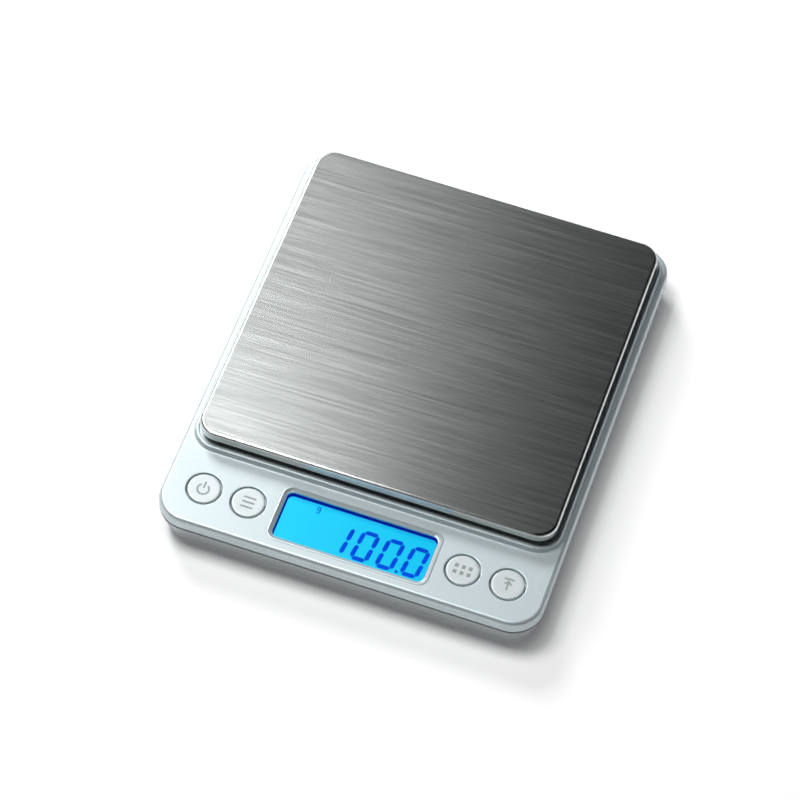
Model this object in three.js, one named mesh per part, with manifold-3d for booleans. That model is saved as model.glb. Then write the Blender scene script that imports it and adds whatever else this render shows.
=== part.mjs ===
// Digital gram scale: a square stainless weighing pan on a low silver two-piece case, with a
// backlit display and four round buttons on the front deck.
//
// Millimetres. +X right, -Y towards the display side, +Z up. The origin is under the middle of the
// case, on the surface that the feet stand on.

import * as THREE from 'three';
import { mergeVertices } from 'three/addons/utils/BufferGeometryUtils.js';
import Module from 'manifold-3d';

const wasm = await Module();
wasm.setup();

// ---------------------------------------------------------------- driving dimensions

const CASE = { width: 106, length: 127, corner: 8.5, wall: 1.8, draft: 2, fillet: 1.2 };
const LEVEL = {
  underside: 1.2,       // lower face of the case, above the table
  floor: 2.8,           // inner face of the case bottom
  parting: 9,           // middle of the groove between the two shells
  deckInside: 11.4,
  deck: 13,
  plateauInside: 12.6,
  plateau: 14,          // raised top of the case under the pan
  rim: 14.4,            // low lip round the pan
  carrier: 15.4,        // underside of the carrier's ribs
  skirt: 16.3,          // lower edge of the pan's turned-down sides
  pan: 19,
};
const SEAM = 0.3;       // gap between pieces that meet
const FIT = 0.15;       // gap between pieces that are stacked or screwed together

const PAN = { size: 99.4, corner: 5.5, sheet: 0.5, bend: 0.9, y: 10.5 };
const RIM = { inner: 100.1, crest: 101.5, foot: 102.5, innerCorner: 5.85 };
const PLATFORM_TRAVEL = 0.4;
const STOP_REACH = 40;  // overload stops, from the middle of the pan

const WINDOW = { width: 41.9, length: 14.4, corner: 1.7, bevel: 1, bevelDepth: 0.8, y: -51.9 };
const LENS = { width: 44.4, length: 17, corner: 1.5, bottom: 10.95, top: 11.8 };
const GASKET = { width: 41.3, length: 14, corner: 1.5, y: -51.95, bottom: 10.65, top: 10.9 };

const BUTTON = { y: -52.07, radius: 4.47, hole: 4.78, flange: 5.1, post: 2, edge: 0.25 };
const BUTTON_X = { power: -42.05, mode: -29.67, count: 29.67, tare: 42.05 };
const BUTTON_TRAVEL = 0.3;

const BOARD = { width: 97, back: -38, front: -59.2, corner: 4, bottom: 6.1, top: 7.3 };
const SWITCH = { size: 6, top: 9.45, well: 8.6, plungerRadius: 1.7, plungerTop: 10 };
const BOARD_SCREWS = { y: -42.5, x: [-46, -27, 27, 46] };

const GLASS = { width: 45.6, front: -60, back: -41.6, bottom: 8.75, top: 10.6 };
const BACKLIGHT = { width: 45, front: -59.8, back: -44, top: 8.6 };

const CELL = { radius: 5.05, length: 44.5, nubRadius: 1.9, nub: 0.8, z: 7.4, pitch: 10.7 };
const BAY = { halfLength: 26.2, front: 33.4, back: 55.6, wall: 1.2, top: 11.3, y: 44.5 };
const DOOR = { halfLength: 28.4, thickness: 0.9, tabX: 15, tabWidth: 6, tabReach: 1.2 };

const BEAM = { length: 60, width: 12, bottom: 5.1, top: 11.1, screwX: [19, 25] };
const RISER = { x: 22, length: 14, width: 12 };

const CASE_SCREWS = {
  front_left: [-35.86, -56.8],
  front_right: [35.86, -56.8],
  back_left: [-44.5, 55],
  back_right: [44.5, 55],
};
const FEET = {
  front_left: [-44, -48],
  front_right: [44, -48],
  back_left: [-44, 43],
  back_right: [44, 43],
};
const FOOT = { radius: 4.6, top: 1.5, recess: 1.6 };

const CORNER_STEPS = 3;  // an arc has two flats for each step
const WIRE_STEPS = 3;

// ---------------------------------------------------------------- finishes

const finish = (color, roughness, metalness) => ({ color, roughness, metalness });
const SILVER_PAINT = finish(0xc9cfd1, 0.45, 0.15);
const SILVER_GREY = finish(0x9ea3a6, 0.5, 0.1);
const BRUSHED_STEEL = finish(0xb4b2ae, 0.32, 1);
const BUTTON_PLASTIC = finish(0xd5dcdd, 0.45, 0.1);
const CLEAR = finish(0xdff4fb, 0.05, 0);
const LCD_BLUE = finish(0x35cbff, 0.2, 0);
const WHITE_PLASTIC = finish(0xe8e8e4, 0.5, 0);
const BLACK_PLASTIC = finish(0x1b1c1e, 0.45, 0);
const BOARD_GREEN = finish(0x1f6b3a, 0.5, 0);
const RUBBER = finish(0x2b2c2e, 0.85, 0);
const ALUMINIUM = finish(0xbfc3c6, 0.35, 1);
const ZINC = finish(0xa9adb0, 0.3, 1);
const FOAM_TAPE = finish(0xf2f0ea, 0.9, 0);
const CARRIER_PLASTIC = finish(0x3a3c3f, 0.6, 0);
const CELL_WRAP = finish(0x35538c, 0.4, 0.2);
const RED_WIRE = finish(0xb3261e, 0.5, 0);
const BLACK_WIRE = finish(0x202122, 0.5, 0);
const GREY_WIRE = finish(0x8f9296, 0.5, 0);

const scale = new THREE.Group();

function add(name, shape, look) {
  const geometry = shape instanceof wasm.Manifold ? geometryOf(shape) : shape;
  const mesh = new THREE.Mesh(geometry, new THREE.MeshStandardMaterial(look));
  mesh.name = name;
  scale.add(mesh);
}

// ---------------------------------------------------------------- solids

function solid(geometry) {
  const bare = geometry.clone();
  bare.deleteAttribute('normal');
  bare.deleteAttribute('uv');
  const merged = mergeVertices(bare, 1e-4);
  return new wasm.Manifold(new wasm.Mesh({
    numProp: 3,
    vertProperties: new Float32Array(merged.attributes.position.array),
    triVerts: new Uint32Array(merged.index.array),
  }));
}

function geometryOf(shape) {
  const mesh = shape.getMesh();
  const geometry = new THREE.BufferGeometry();
  geometry.setAttribute('position', new THREE.BufferAttribute(mesh.vertProperties, 3));
  geometry.setIndex(new THREE.BufferAttribute(mesh.triVerts, 1));
  geometry.computeVertexNormals();
  return geometry;
}

const join = (shapes) => shapes.reduce((whole, shape) => whole.add(shape));
const cut = (body, tools) => tools.reduce((rest, tool) => rest.subtract(tool), body);

// A rectangle with round corners, centred on (x, y).
function roundedRect(width, length, radius, x = 0, y = 0) {
  const shape = new THREE.Shape();
  const right = x + width / 2 - radius;
  const left = x - width / 2 + radius;
  const back = y + length / 2 - radius;
  const front = y - length / 2 + radius;
  shape.absarc(right, back, radius, 0, Math.PI / 2);
  shape.absarc(left, back, radius, Math.PI / 2, Math.PI);
  shape.absarc(left, front, radius, Math.PI, Math.PI * 1.5);
  shape.absarc(right, front, radius, Math.PI * 1.5, Math.PI * 2);
  return shape;
}

function slabGeometry(shape, bottom, top) {
  const options = { depth: top - bottom, bevelEnabled: false, curveSegments: CORNER_STEPS };
  return new THREE.ExtrudeGeometry(shape, options).translate(0, 0, bottom);
}

const slab = (shape, bottom, top) => solid(slabGeometry(shape, bottom, top));

// A slab whose upper edge is drawn in by `inset` over the height `drop`: one step makes a slope,
// more steps make it round.
function crownedSlab(shape, bottom, top, inset, drop, steps = 1) {
  const options = {
    depth: top - bottom - drop,
    bevelSize: inset,
    bevelOffset: -inset,
    bevelThickness: drop,
    bevelSegments: steps,
    curveSegments: CORNER_STEPS,
  };
  const whole = solid(new THREE.ExtrudeGeometry(shape, options).translate(0, 0, bottom));
  return whole.subtract(box(-100, 100, -100, 100, bottom - drop - 1, bottom));
}

// The same the other way up: the lower edge is drawn in.
function footedSlab(shape, bottom, top, inset, drop, steps = 1) {
  const upturned = crownedSlab(shape, 0, top - bottom, inset, drop, steps);
  return upturned.mirror([0, 0, 1]).translate([0, 0, top]);
}

function boxGeometry(x0, x1, y0, y1, z0, z1) {
  const geometry = new THREE.BoxGeometry(x1 - x0, y1 - y0, z1 - z0);
  return geometry.translate((x0 + x1) / 2, (y0 + y1) / 2, (z0 + z1) / 2);
}

const box = (...limits) => solid(boxGeometry(...limits));

function post(x, y, radius, bottom, top, sides = 16) {
  const cylinder = new THREE.CylinderGeometry(radius, radius, top - bottom, sides);
  cylinder.rotateX(Math.PI / 2).translate(x, y, (top + bottom) / 2);
  return solid(cylinder);
}

// A solid of revolution about Z from [radius, z] points that start and end on the axis.
function turned(profile, x, y, sides = 16) {
  const points = profile.map(([radius, z]) => new THREE.Vector2(radius, z));
  return new THREE.LatheGeometry(points, sides).rotateX(Math.PI / 2).translate(x, y, 0);
}

// A screw standing on its head: `head` is the z of the head's outer face and `tip` of its point.
function screw(x, y, head, tip, size) {
  const up = Math.sign(tip - head);
  const profile = [
    [0, head],
    [size.head * 0.8, head],
    [size.head, head + up * size.thick * 0.5],
    [size.head, head + up * size.thick],
    [size.shank, head + up * size.thick],
    [size.shank, tip - up * size.shank],
    [0, tip],
  ];
  return turned(up > 0 ? profile : profile.reverse(), x, y, 12);
}

const SMALL_SCREW = { head: 1.9, thick: 1.1, shank: 0.85 };
const CASE_SCREW = { head: 2.4, thick: 1.5, shank: 1.1 };
const BEAM_SCREW = { head: 2.6, thick: 1.6, shank: 1.4 };

// ---------------------------------------------------------------- case

const caseOutline = (inset) => roundedRect(
  CASE.width - 2 * inset, CASE.length - 2 * inset, CASE.corner - inset);
const panOutline = (size, corner) => roundedRect(size, size, corner, 0, PAN.y);
const windowOutline = (grow) => roundedRect(
  WINDOW.width + 2 * grow, WINDOW.length + 2 * grow, WINDOW.corner + 0.8 * grow, 0, WINDOW.y);

const TONGUE = { inset: 1.05, room: 0.2, top: 10.3 };
const BOSS = { upper: 2.4, lower: 3.6, pilot: 1.25, meet: 5.9 };
const BOARD_POST = { radius: 2, pilot: 1 };
const BEAM_PAD_TOP = 4.1;
const STOP = { radius: 2, top: LEVEL.carrier - PLATFORM_TRAVEL - FIT };
const caseScrews = Object.values(CASE_SCREWS);

function topCase() {
  const bottom = LEVEL.parting + SEAM / 2;
  const rimCorner = RIM.innerCorner + (RIM.foot - RIM.inner) / 2;
  const rim = crownedSlab(panOutline(RIM.foot, rimCorner), LEVEL.deckInside, LEVEL.rim,
    (RIM.foot - RIM.crest) / 2, LEVEL.rim - LEVEL.deck, 2);
  const shell = crownedSlab(caseOutline(0), bottom, LEVEL.deck, CASE.fillet, CASE.fillet, 3);

  const rimWall = 1.5;
  const underPan = panOutline(RIM.inner - 2 * rimWall, RIM.innerCorner);
  const hollowed = cut(shell.add(rim), [
    slab(caseOutline(CASE.wall), bottom - 1, LEVEL.deckInside),
    slab(underPan, bottom, LEVEL.plateauInside),
    slab(panOutline(RIM.inner, RIM.innerCorner), LEVEL.plateau, LEVEL.rim + 1),
    slab(caseOutline(TONGUE.inset - TONGUE.room), bottom - 1, TONGUE.top + SEAM),
  ]);

  const root = 0.5;     // how far a boss or post runs into the wall that it grows from
  const bosses = caseScrews.map(([x, y]) => {
    const ceiling = y < 0 ? LEVEL.deckInside : LEVEL.plateauInside;
    return post(x, y, BOSS.upper, BOSS.meet, ceiling + root);
  });
  const boardPosts = BOARD_SCREWS.x.map((x) => post(
    x, BOARD_SCREWS.y, BOARD_POST.radius, BOARD.top + FIT, LEVEL.deckInside + root));
  const stops = [-1, 1].flatMap((side) => [-1, 1].map((end) => post(
    side * STOP_REACH, PAN.y + end * STOP_REACH, STOP.radius, LEVEL.plateau - root, STOP.top)));

  const pilotTop = LEVEL.deckInside - root;
  const riserRoom = 1.2;
  return cut(join([hollowed, ...bosses, ...boardPosts, ...stops]), [
    footedSlab(windowOutline(WINDOW.bevel), LEVEL.deck - WINDOW.bevelDepth, LEVEL.deck + 0.1,
      WINDOW.bevel, WINDOW.bevelDepth),
    slab(windowOutline(0), LENS.bottom, LEVEL.deck),
    slab(roundedRect(LENS.width + SEAM, LENS.length + SEAM, LENS.corner, 0, WINDOW.y),
      LENS.bottom, LENS.top + FIT),
    ...Object.values(BUTTON_X).map((x) => post(
      x, BUTTON.y, BUTTON.hole, LENS.bottom, LEVEL.pan, 24)),
    ...caseScrews.map(([x, y]) => post(x, y, BOSS.pilot, LEVEL.floor, pilotTop, 12)),
    ...BOARD_SCREWS.x.map((x) => post(
      x, BOARD_SCREWS.y, BOARD_POST.pilot, BOARD.top, pilotTop, 12)),
    box(RISER.x - RISER.length / 2 - riserRoom, RISER.x + RISER.length / 2 + riserRoom,
      PAN.y - RISER.width / 2 - riserRoom, PAN.y + RISER.width / 2 + riserRoom,
      LEVEL.deckInside, LEVEL.rim),
  ]);
}

// The lower shell leans inwards towards its foot, and its lower edge is rounded.
function bottomShell(top) {
  const edge = 0.8;
  const land = 0.1;     // upright strip along the parting line
  const height = top - LEVEL.underside;
  const slope = CASE.draft * (1 - edge / height);
  return footedSlab(caseOutline(0), LEVEL.underside + edge, top, slope, height - edge - land)
    .add(footedSlab(caseOutline(slope), LEVEL.underside, LEVEL.underside + 2 * edge, edge, edge, 2));
}

function bottomCase() {
  const top = LEVEL.parting - SEAM / 2;
  const root = 0.5;
  const hollowHeight = top - LEVEL.floor;
  const hollow = footedSlab(caseOutline(CASE.wall), LEVEL.floor, top + 1,
    CASE.draft * hollowHeight / (top - LEVEL.underside), hollowHeight);
  const tongue = slab(caseOutline(TONGUE.inset), top - 1, TONGUE.top);
  const tongueInside = slab(caseOutline(CASE.wall), top - 0.5, TONGUE.top + 1);
  const shell = cut(bottomShell(top).add(tongue), [hollow, tongueInside]);

  const bayWalls = box(-BAY.halfLength - BAY.wall, BAY.halfLength + BAY.wall,
    BAY.front - BAY.wall, BAY.back + BAY.wall, LEVEL.floor - root, BAY.top);
  const bosses = caseScrews.map(([x, y]) => post(
    x, y, BOSS.lower, LEVEL.floor - root, BOSS.meet - FIT));
  const beamPad = box(-RISER.x - RISER.length / 2, -RISER.x + RISER.length / 2,
    PAN.y - RISER.width / 2, PAN.y + RISER.width / 2, LEVEL.floor - root, BEAM_PAD_TOP);

  const ledge = 0.2;    // between the closed door and the strips that stop it at its two ends
  const doorOpening = box(-DOOR.halfLength - SEAM, DOOR.halfLength + SEAM, BAY.front, BAY.back,
    LEVEL.underside - 1, LEVEL.underside + DOOR.thickness + ledge);
  const bayInside = box(-BAY.halfLength, BAY.halfLength, BAY.front, BAY.back, 0, BAY.top + 1);
  const slotHeight = 2.6;
  const slotReach = DOOR.tabWidth / 2 + 0.4;
  const tabSlots = [-1, 1].map((side) => box(
    side * DOOR.tabX - slotReach, side * DOOR.tabX + slotReach,
    BAY.front - BAY.wall - 1, BAY.front + 1, LEVEL.floor, LEVEL.floor + slotHeight));
  const fingerNotch = post(0, BAY.back, 4.5, LEVEL.underside - 1, LEVEL.underside + 1, 24);
  const screwHoles = caseScrews.flatMap(([x, y]) => [
    post(x, y, CASE_SCREW.head + 0.4, LEVEL.underside - 1, 4, 20),
    post(x, y, CASE_SCREW.shank + 0.25, LEVEL.underside, BOSS.meet + 1, 12),
  ]);
  const beamHoles = BEAM.screwX.flatMap((x) => [
    post(-x, PAN.y, BEAM_SCREW.head + 0.2, LEVEL.underside - 1, 3.2, 20),
    post(-x, PAN.y, BEAM_SCREW.shank + 0.25, LEVEL.underside, 5, 12),
  ]);
  const footRecesses = Object.values(FEET).map(([x, y]) => post(
    x, y, FOOT.radius + FIT, LEVEL.underside - 1, FOOT.recess, 20));

  return cut(join([shell, bayWalls, ...bosses, beamPad]), [
    doorOpening, bayInside, ...tabSlots, fingerNotch, ...screwHoles, ...beamHoles, ...footRecesses,
  ]);
}

function foot([x, y]) {
  const edge = 0.3;
  return turned([
    [0, 0],
    [FOOT.radius - edge, 0],
    [FOOT.radius, edge],
    [FOOT.radius, FOOT.top],
    [0, FOOT.top],
  ], x, y, 20);
}

add('top_case', topCase(), SILVER_PAINT);
add('bottom_case', bottomCase(), SILVER_GREY);
for (const [place, [x, y]] of Object.entries(CASE_SCREWS)) {
  add(`case_screw_${place}`, screw(x, y, 2.3, 10.3, CASE_SCREW), ZINC);
}
for (const [place, spot] of Object.entries(FEET)) {
  add(`foot_${place}`, foot(spot), RUBBER);
}

// ---------------------------------------------------------------- buttons and their switches

function buttonCap(x) {
  const under = SWITCH.plungerTop + FIT;
  const flangeTop = LEVEL.deckInside - FIT;
  return turned([
    [0, under],
    [BUTTON.post, under],
    [BUTTON.post, under + 0.25],
    [BUTTON.flange, under + 0.25],
    [BUTTON.flange, flangeTop],
    [BUTTON.radius, flangeTop],
    [BUTTON.radius, LEVEL.deck - BUTTON.edge],
    [BUTTON.radius - BUTTON.edge, LEVEL.deck],
    [0, LEVEL.deck],
  ], x, BUTTON.y, 24);
}

function switchBody(x) {
  const half = SWITCH.size / 2;
  const housing = box(x - half, x + half, BUTTON.y - half, BUTTON.y + half, BOARD.top + FIT, SWITCH.top);
  return housing.subtract(post(x, BUTTON.y, SWITCH.plungerRadius + FIT, SWITCH.well, SWITCH.top + 1));
}

for (const [use, x] of Object.entries(BUTTON_X)) {
  const plungerBottom = SWITCH.well + BUTTON_TRAVEL + 0.05;
  add(`button_${use}`, buttonCap(x), BUTTON_PLASTIC);
  add(`switch_${use}`, switchBody(x), BLACK_PLASTIC);
  add(`switch_plunger_${use}`,
    post(x, BUTTON.y, SWITCH.plungerRadius, plungerBottom, SWITCH.plungerTop), WHITE_PLASTIC);
}

// ---------------------------------------------------------------- display

const DISPLAY_FRAME = { wall: 1, front: -61, top: 10.45 };

function displayFrame() {
  const inside = { x: GLASS.width / 2 + 0.2, front: GLASS.front - 0.2, back: GLASS.back + 0.2 };
  const outer = box(-inside.x - DISPLAY_FRAME.wall, inside.x + DISPLAY_FRAME.wall,
    DISPLAY_FRAME.front, inside.back + DISPLAY_FRAME.wall, BOARD.top + FIT, DISPLAY_FRAME.top);
  return outer.subtract(box(-inside.x, inside.x, inside.front, inside.back, BOARD.top, LENS.top));
}

// A thin dark frame between the clear window and the display's glass.
function displayGasket() {
  const outer = slab(roundedRect(LENS.width, LENS.length, LENS.corner, 0, WINDOW.y),
    GASKET.bottom, GASKET.top);
  const opening = roundedRect(GASKET.width, GASKET.length, GASKET.corner, 0, GASKET.y);
  return outer.subtract(slab(opening, GASKET.bottom - 1, GASKET.top + 1));
}

const flatPiece = (width, front, back, bottom, top) => boxGeometry(
  -width / 2, width / 2, front, back, bottom, top);

add('display_window',
  slab(roundedRect(LENS.width, LENS.length, LENS.corner, 0, WINDOW.y), LENS.bottom, LENS.top), CLEAR);
add('display_gasket', displayGasket(), BLACK_PLASTIC);
add('lcd_glass', flatPiece(GLASS.width, GLASS.front, GLASS.back, GLASS.bottom, GLASS.top), LCD_BLUE);
add('lcd_backlight',
  flatPiece(BACKLIGHT.width, BACKLIGHT.front, BACKLIGHT.back, BOARD.top + FIT, BACKLIGHT.top),
  WHITE_PLASTIC);
add('lcd_connector_strip',
  flatPiece(42, BACKLIGHT.back + 0.5, GLASS.back - 0.4, BOARD.top + FIT, BACKLIGHT.top), RUBBER);
add('lcd_frame', displayFrame(), WHITE_PLASTIC);

// ---------------------------------------------------------------- main board

function mainBoard() {
  const middle = (BOARD.front + BOARD.back) / 2;
  const outline = roundedRect(BOARD.width, BOARD.back - BOARD.front, BOARD.corner, 0, middle);
  const notches = caseScrews.filter(([, y]) => y < 0).map(([x, y]) => post(
    x, y, BOSS.upper + SEAM, BOARD.bottom - 1, BOARD.top + 1));
  const holes = BOARD_SCREWS.x.map((x) => post(
    x, BOARD_SCREWS.y, SMALL_SCREW.shank + 0.25, BOARD.bottom - 1, BOARD.top + 1, 12));
  return cut(slab(outline, BOARD.bottom, BOARD.top), [...notches, ...holes]);
}

function domedBlob(x, y, radius, height) {
  const top = BOARD.bottom - FIT;
  return turned([
    [0, top - height],
    [radius * 0.55, top - height * 0.85],
    [radius * 0.9, top - height * 0.4],
    [radius, top],
    [0, top],
  ], x, y);
}

const underBoard = (x, y, width, length, height) => boxGeometry(
  x - width / 2, x + width / 2, y - length / 2, y + length / 2,
  BOARD.bottom - FIT - height, BOARD.bottom - FIT);

add('main_board', mainBoard(), BOARD_GREEN);
add('processor_blob', domedBlob(-8, -49, 5, 1.2), BLACK_PLASTIC);
add('converter_chip', underBoard(12, -47, 6, 5, 1.4), BLACK_PLASTIC);
add('board_crystal', underBoard(0, -41.5, 6, 2, 1.8), ZINC);
add('board_capacitor', post(-19, -47, 2, BOARD.bottom - FIT - 2.6, BOARD.bottom - FIT), ALUMINIUM);
BOARD_SCREWS.x.forEach((x, index) => {
  add(`board_screw_${index + 1}`, screw(x, BOARD_SCREWS.y, 4.85, 10.4, SMALL_SCREW), ZINC);
});

// ---------------------------------------------------------------- load cell

const BEAM_HOLE = 1.65;
const BEAM_MIDDLE = (BEAM.bottom + BEAM.top) / 2;

// A bar with two joined bores across its middle, which leave four thin places that bend.
function loadBeam() {
  const bar = box(-BEAM.length / 2, BEAM.length / 2, PAN.y - BEAM.width / 2, PAN.y + BEAM.width / 2,
    BEAM.bottom, BEAM.top);
  const bores = [-5, 5].map((x) => {
    const bore = new THREE.CylinderGeometry(2.3, 2.3, BEAM.width + 2, 20);
    return solid(bore.translate(x, PAN.y, BEAM_MIDDLE));
  });
  const slot = box(-5, 5, PAN.y - BEAM.width, PAN.y + BEAM.width, BEAM_MIDDLE - 1.2, BEAM_MIDDLE + 1.2);
  const screwHoles = BEAM.screwX.flatMap((x) => [-x, x]).map((x) => post(
    x, PAN.y, BEAM_HOLE, BEAM.bottom - 1, BEAM.top + 1, 12));
  return cut(bar, [...bores, slot, ...screwHoles]);
}

// A block on the load cell's end with clearance holes for its two screws.
function beamBlock(x, bottom, top) {
  const block = box(x - RISER.length / 2, x + RISER.length / 2,
    PAN.y - RISER.width / 2, PAN.y + RISER.width / 2, bottom, top);
  const holes = BEAM.screwX.map((offset) => post(
    Math.sign(x) * offset, PAN.y, BEAM_HOLE, bottom - 1, top + 1, 12));
  return cut(block, holes);
}

const coating = (bottom) => boxGeometry(-8, 8, PAN.y - 4.5, PAN.y + 4.5, bottom, bottom + 0.5);
const RISER_TOP = LEVEL.carrier - FIT;

add('load_cell', loadBeam(), ALUMINIUM);
add('gauge_coating_upper', coating(BEAM.top + FIT), WHITE_PLASTIC);
add('gauge_coating_lower', coating(BEAM.bottom - FIT - 0.5), WHITE_PLASTIC);
add('load_cell_spacer', beamBlock(-RISER.x, BEAM_PAD_TOP + FIT, BEAM.bottom - FIT), ZINC);
add('carrier_riser', beamBlock(RISER.x, BEAM.top + FIT, RISER_TOP), ALUMINIUM);
BEAM.screwX.forEach((x, index) => {
  add(`load_cell_screw_${index + 1}`, screw(-x, PAN.y, 1.5, 9.6, BEAM_SCREW), ZINC);
  add(`carrier_screw_${index + 1}`, screw(x, PAN.y, 17.9, 7, BEAM_SCREW), ZINC);
});

// ---------------------------------------------------------------- platform

const CARRIER = { size: 97.4, corner: 4.6, plateBottom: 16.6, top: 18, rib: 1.4, ribInset: 3 };

function carrier() {
  const ribTop = CARRIER.plateBottom + 0.2;
  const plate = slab(panOutline(CARRIER.size, CARRIER.corner), CARRIER.plateBottom, CARRIER.top);
  const outer = CARRIER.size - 2 * CARRIER.ribInset;
  const inner = outer - 2 * CARRIER.rib;
  const border = slab(panOutline(outer, CARRIER.corner), LEVEL.carrier, ribTop)
    .subtract(slab(panOutline(inner, CARRIER.corner - CARRIER.rib), LEVEL.carrier - 1, ribTop + 1));
  const reach = (outer - CARRIER.rib) / 2;
  const ribs = [-STOP_REACH, 0, STOP_REACH].flatMap((offset) => [
    box(-reach, reach, PAN.y + offset - CARRIER.rib, PAN.y + offset + CARRIER.rib,
      LEVEL.carrier, ribTop),
    box(offset - CARRIER.rib, offset + CARRIER.rib, PAN.y - reach, PAN.y + reach,
      LEVEL.carrier, ribTop),
  ]);
  const seat = box(RISER.x - 9, RISER.x + 9, PAN.y - 8, PAN.y + 8, LEVEL.carrier, ribTop);
  const holes = BEAM.screwX.flatMap((x) => [
    post(x, PAN.y, BEAM_HOLE, LEVEL.carrier - 1, CARRIER.top + 1, 12),
    post(x, PAN.y, BEAM_SCREW.head + 0.2, 16.15, CARRIER.top + 1, 20),
  ]);
  return cut(join([plate, border, ...ribs, seat]), holes);
}

function weighingPan() {
  const inside = PAN.size - 2 * PAN.sheet;
  const innerBend = PAN.bend - PAN.sheet / 2;
  const outer = crownedSlab(panOutline(PAN.size, PAN.corner), LEVEL.skirt, LEVEL.pan,
    PAN.bend, PAN.bend, 3);
  const inner = crownedSlab(panOutline(inside, PAN.corner - PAN.sheet), LEVEL.skirt - 1,
    LEVEL.pan - PAN.sheet, innerBend, innerBend, 2);
  return outer.subtract(inner);
}

const padTop = LEVEL.pan - PAN.sheet - 0.1;

add('platform_carrier', carrier(), CARRIER_PLASTIC);
add('adhesive_pad', slabGeometry(panOutline(86, 3), CARRIER.top + 0.1, padTop), FOAM_TAPE);
add('weighing_pan', weighingPan(), BRUSHED_STEEL);

// ---------------------------------------------------------------- battery bay

const CELL_Y = [BAY.y - CELL.pitch / 2, BAY.y + CELL.pitch / 2];
const PLATE = { thickness: 0.3, bottom: 3.6, top: 11, half: 4.2 };
const PLATE_FACE = BAY.halfLength - FIT - PLATE.thickness;
const NUB_TIP = PLATE_FACE - FIT;

// A cell lying along X with its positive end towards `side`.
function batteryCell(side, y) {
  const start = NUB_TIP - CELL.length;
  const shoulder = NUB_TIP - CELL.nub;
  const profile = [
    [0, start],
    [CELL.radius - 0.6, start],
    [CELL.radius, start + 0.5],
    [CELL.radius, shoulder - 0.5],
    [CELL.radius - 0.5, shoulder],
    [CELL.nubRadius, shoulder],
    [CELL.nubRadius, NUB_TIP],
    [0, NUB_TIP],
  ].map(([radius, along]) => new THREE.Vector2(radius, along));
  return new THREE.LatheGeometry(profile, 24).rotateZ(-Math.PI / 2 * side).translate(0, y, CELL.z);
}

class ConeHelix extends THREE.Curve {
  constructor(side, y) {
    super();
    this.side = side;
    this.y = y;
  }

  getPoint(t, target = new THREE.Vector3()) {
    const wire = 0.3;
    const near = NUB_TIP - wire;
    const far = NUB_TIP - (PLATE_FACE - (CELL.length - NUB_TIP)) + wire + FIT;
    const turns = 3.5;
    const angle = t * turns * Math.PI * 2;
    const radius = 3.4 - 1.3 * t;
    const along = near + (far - near) * t;
    return target.set(this.side * along, this.y + radius * Math.cos(angle),
      CELL.z + radius * Math.sin(angle));
  }
}

function batterySpring(side, y) {
  const wire = new THREE.Shape().absarc(0, 0, 0.28, 0, Math.PI * 2);
  return new THREE.ExtrudeGeometry(wire, {
    steps: 50, curveSegments: WIRE_STEPS, bevelEnabled: false, extrudePath: new ConeHelix(side, y),
  });
}

// A contact plate against an end wall, from y0 to y1. A tag over the wall takes the lead.
function contactPlate(side, y0, y1, tagY) {
  const [inner, outer] = [PLATE_FACE, PLATE_FACE + PLATE.thickness].map((x) => side * x);
  const tagTop = BAY.top + FIT + PLATE.thickness;
  const top = tagY === undefined ? PLATE.top : tagTop;
  const plate = box(Math.min(inner, outer), Math.max(inner, outer), y0, y1, PLATE.bottom, PLATE.top);
  if (tagY === undefined) {
    return plate;
  }
  const tagEnd = side * (BAY.halfLength + BAY.wall + 1.2);
  const upright = box(Math.min(inner, outer), Math.max(inner, outer), tagY - 1.2, tagY + 1.2,
    PLATE.top - 1, top);
  const tag = box(Math.min(inner, tagEnd), Math.max(inner, tagEnd), tagY - 1.2, tagY + 1.2,
    BAY.top + FIT, tagTop);
  return join([plate, upright, tag]);
}

add('battery_1', batteryCell(1, CELL_Y[0]), CELL_WRAP);
add('battery_2', batteryCell(-1, CELL_Y[1]), CELL_WRAP);
add('battery_spring_1', batterySpring(-1, CELL_Y[0]), ZINC);
add('battery_spring_2', batterySpring(1, CELL_Y[1]), ZINC);
add('contact_bridge', contactPlate(1, CELL_Y[0] - PLATE.half, CELL_Y[1] + PLATE.half), ZINC);
add('contact_negative',
  contactPlate(-1, CELL_Y[0] - PLATE.half, CELL_Y[0] + PLATE.half, CELL_Y[0]), ZINC);
add('contact_positive',
  contactPlate(-1, CELL_Y[1] - PLATE.half, CELL_Y[1] + PLATE.half, CELL_Y[1]), ZINC);

// The door lies flush in the underside. Two hooked tabs hold its front edge, and a springy tongue
// between two slits holds its back edge.
function batteryDoor() {
  const front = BAY.front + SEAM;
  const back = BAY.back - SEAM;
  const top = LEVEL.underside + DOOR.thickness;
  const plate = box(-DOOR.halfLength, DOOR.halfLength, front, back, LEVEL.underside, top);
  const tabs = [-1, 1].flatMap((side) => {
    const [left, right] = [-0.5, 0.5].map((part) => side * DOOR.tabX + part * DOOR.tabWidth);
    const hookBottom = LEVEL.floor + 0.2;
    return [
      box(left, right, front, front + 0.8, LEVEL.underside + 0.1, hookBottom + 0.9),
      box(left, right, front - DOOR.tabReach, front + 0.8, hookBottom, hookBottom + 0.9),
    ];
  });
  const slits = [-1, 1].map((side) => box(side * 5.5 - 0.35, side * 5.5 + 0.35, back - 6, back + 1,
    LEVEL.underside - 1, top + 1));
  const grips = [0, 1, 2].map((row) => box(-3.5, 3.5, back - 2 - 1.5 * row, back - 1.4 - 1.5 * row,
    LEVEL.underside - 0.3, LEVEL.underside + 0.2));
  return cut(join([plate, ...tabs, ...grips]), slits);
}

add('battery_door', batteryDoor(), SILVER_GREY);

// ---------------------------------------------------------------- leads

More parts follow.
